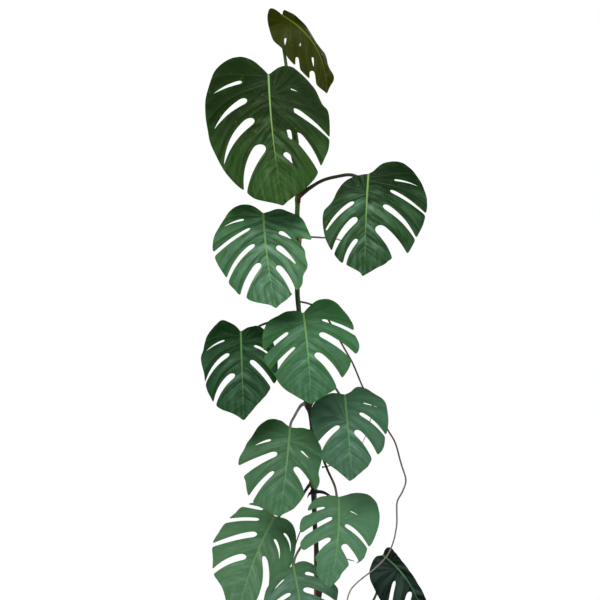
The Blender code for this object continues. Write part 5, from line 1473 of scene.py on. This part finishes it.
def make_stage():
    """Pale floor and white surroundings."""
    look, tree, shader = new_look("pale_floor", 0.8)
    color = blend(tree, noise_node(tree, 3.0), linear((238, 238, 237)), linear((246, 246, 245)))
    finish_look(tree, shader, color)
    ring = [(x, y, 0) for x, y in circle((0, 0), FLOOR_RADIUS, FLOOR_SIDES)]
    floor = add_mesh("floor", ring, [tuple(range(FLOOR_SIDES))], [look])
    world = bpy.data.worlds.new("studio")
    bpy.context.scene.world = world
    world.use_nodes = True
    tree = world.node_tree
    tree.nodes.clear()
    seen = add_node(tree, "Background", {"Color": (1, 1, 1, 1), "Strength": 1.0})
    fill = add_node(tree, "Background", {"Color": (0.93, 0.97, 1.0, 1), "Strength": WORLD_FILL})
    seen_by_camera = add_node(tree, "LightPath").outputs["Is Camera Ray"]
    mixed = add_node(tree, "MixShader", {0: seen_by_camera, 1: fill.outputs[0], 2: seen.outputs[0]})
    add_node(tree, "OutputWorld", {"Surface": mixed.outputs[0]})


def add_light(name, at, target, size, energy, color):
    light = bpy.data.lights.new(name, "AREA")
    light.shape = "RECTANGLE"
    light.size, light.size_y = size
    light.energy = energy
    light.color = color
    made = add_object(name, light)
    made.location = at
    made.rotation_euler = (Vector(target) - Vector(at)).to_track_quat("-Z", "Y").to_euler()


def make_camera():
    camera = bpy.data.cameras.new("camera")
    camera.sensor_width = SENSOR
    camera.lens = SENSOR * -SIGHT[1] / PICTURE_WIDTH
    made = add_object("camera", camera)
    made.location = SIGHT
    made.rotation_euler = (math.pi / 2, 0, 0)
    bpy.context.scene.camera = made


def main():
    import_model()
    bpy.context.scene.view_settings.view_transform = "Standard"
    make_camera()
    make_stage()
    for light in LIGHTS:
        add_light(*light)

    under = under_look("leaf_under", UNDER_COLORS)
    ribs = rib_look("leaf_rib", UNDER_COLORS)
    # Leaf 01's underside and ribs have the backlight shining through them painted in.
    backlit_under = under_look("leaf_01_under", BACKLIT_UNDER_COLORS)
    backlit_ribs = rib_look("leaf_01_rib", BACKLIT_UNDER_COLORS)
    for number, blade in BLADES.items():
        upper = upper_look(number, LEAF_COLORS[number])
        back, rib = (backlit_under, backlit_ribs) if number == "01" else (under, ribs)
        seat, way = make_leaf(number, blade, [upper, back, rib])
        tints = STALK_TINTS.get(number, STALK_TINTS["other"])
        look = ramp_look(f"stalk_{number}_skin", tints, 0.45, scale=300.0, grain=(1, 1, 0.3))
        make_stalk(number, seat, way, look)
    make_stem(ramp_look("stem_skin", STEM_TINTS, 0.55, (70, 60, 35), 0.001, 180.0, (1, 1, 0.25)))
    root_look = ramp_look("root_skin", ROOT_TINTS, 0.75, (150, 135, 120), 0.0008, 420.0)
    for name, (radius, route) in ROOTS.items():
        make_root(name, radius, route, root_look)

    looks = {}
    for name, (foot, end) in SHEATH_TINTS.items():
        tints = [(0.0, foot), (1.0, end)]
        looks[name] = ramp_look(f"sheath_{name}", tints, 0.8, None, 0.0012, 520.0, (1, 1, 0.2))
    for k, (tint, *sizes) in enumerate(SHEATHS):
        make_sheath(f"sheath_{k + 1}", *sizes, looks[tint])
    make_pot(speckled_look("pot_plastic", (30, 31, 33), (44, 46, 48), 0.62, 9.0, 0.0003, (56, 54, 51),
                           Specular_IOR_Level=0.35))
    make_soil([speckled_look("potting_soil", (26, 18, 12), (58, 42, 28), 0.95, 60.0, 0.002, (110, 92, 66)),
               speckled_look("bark_chip", (58, 34, 20), (118, 80, 50), 0.85, 120.0, 0.001),
               speckled_look("perlite", (196, 194, 186), (232, 230, 224), 0.8, 200.0, 0.0008),
               speckled_look("soil_crumb", (30, 20, 14), (70, 50, 34), 0.95, 150.0, 0.001)])
    make_cane(ramp_look("cane_skin", CANE_TINTS, 0.45, (96, 66, 34), 0.0005, 140.0, (1, 1, 0.06)))
    make_tie(speckled_look("tie_fabric", (14, 12, 40), (30, 28, 74), 0.85, 500.0, 0.0010))
    make_clip(speckled_look("clip_black", (16, 14, 14), (34, 30, 30), 0.45, 300.0, 0.0003))


main()
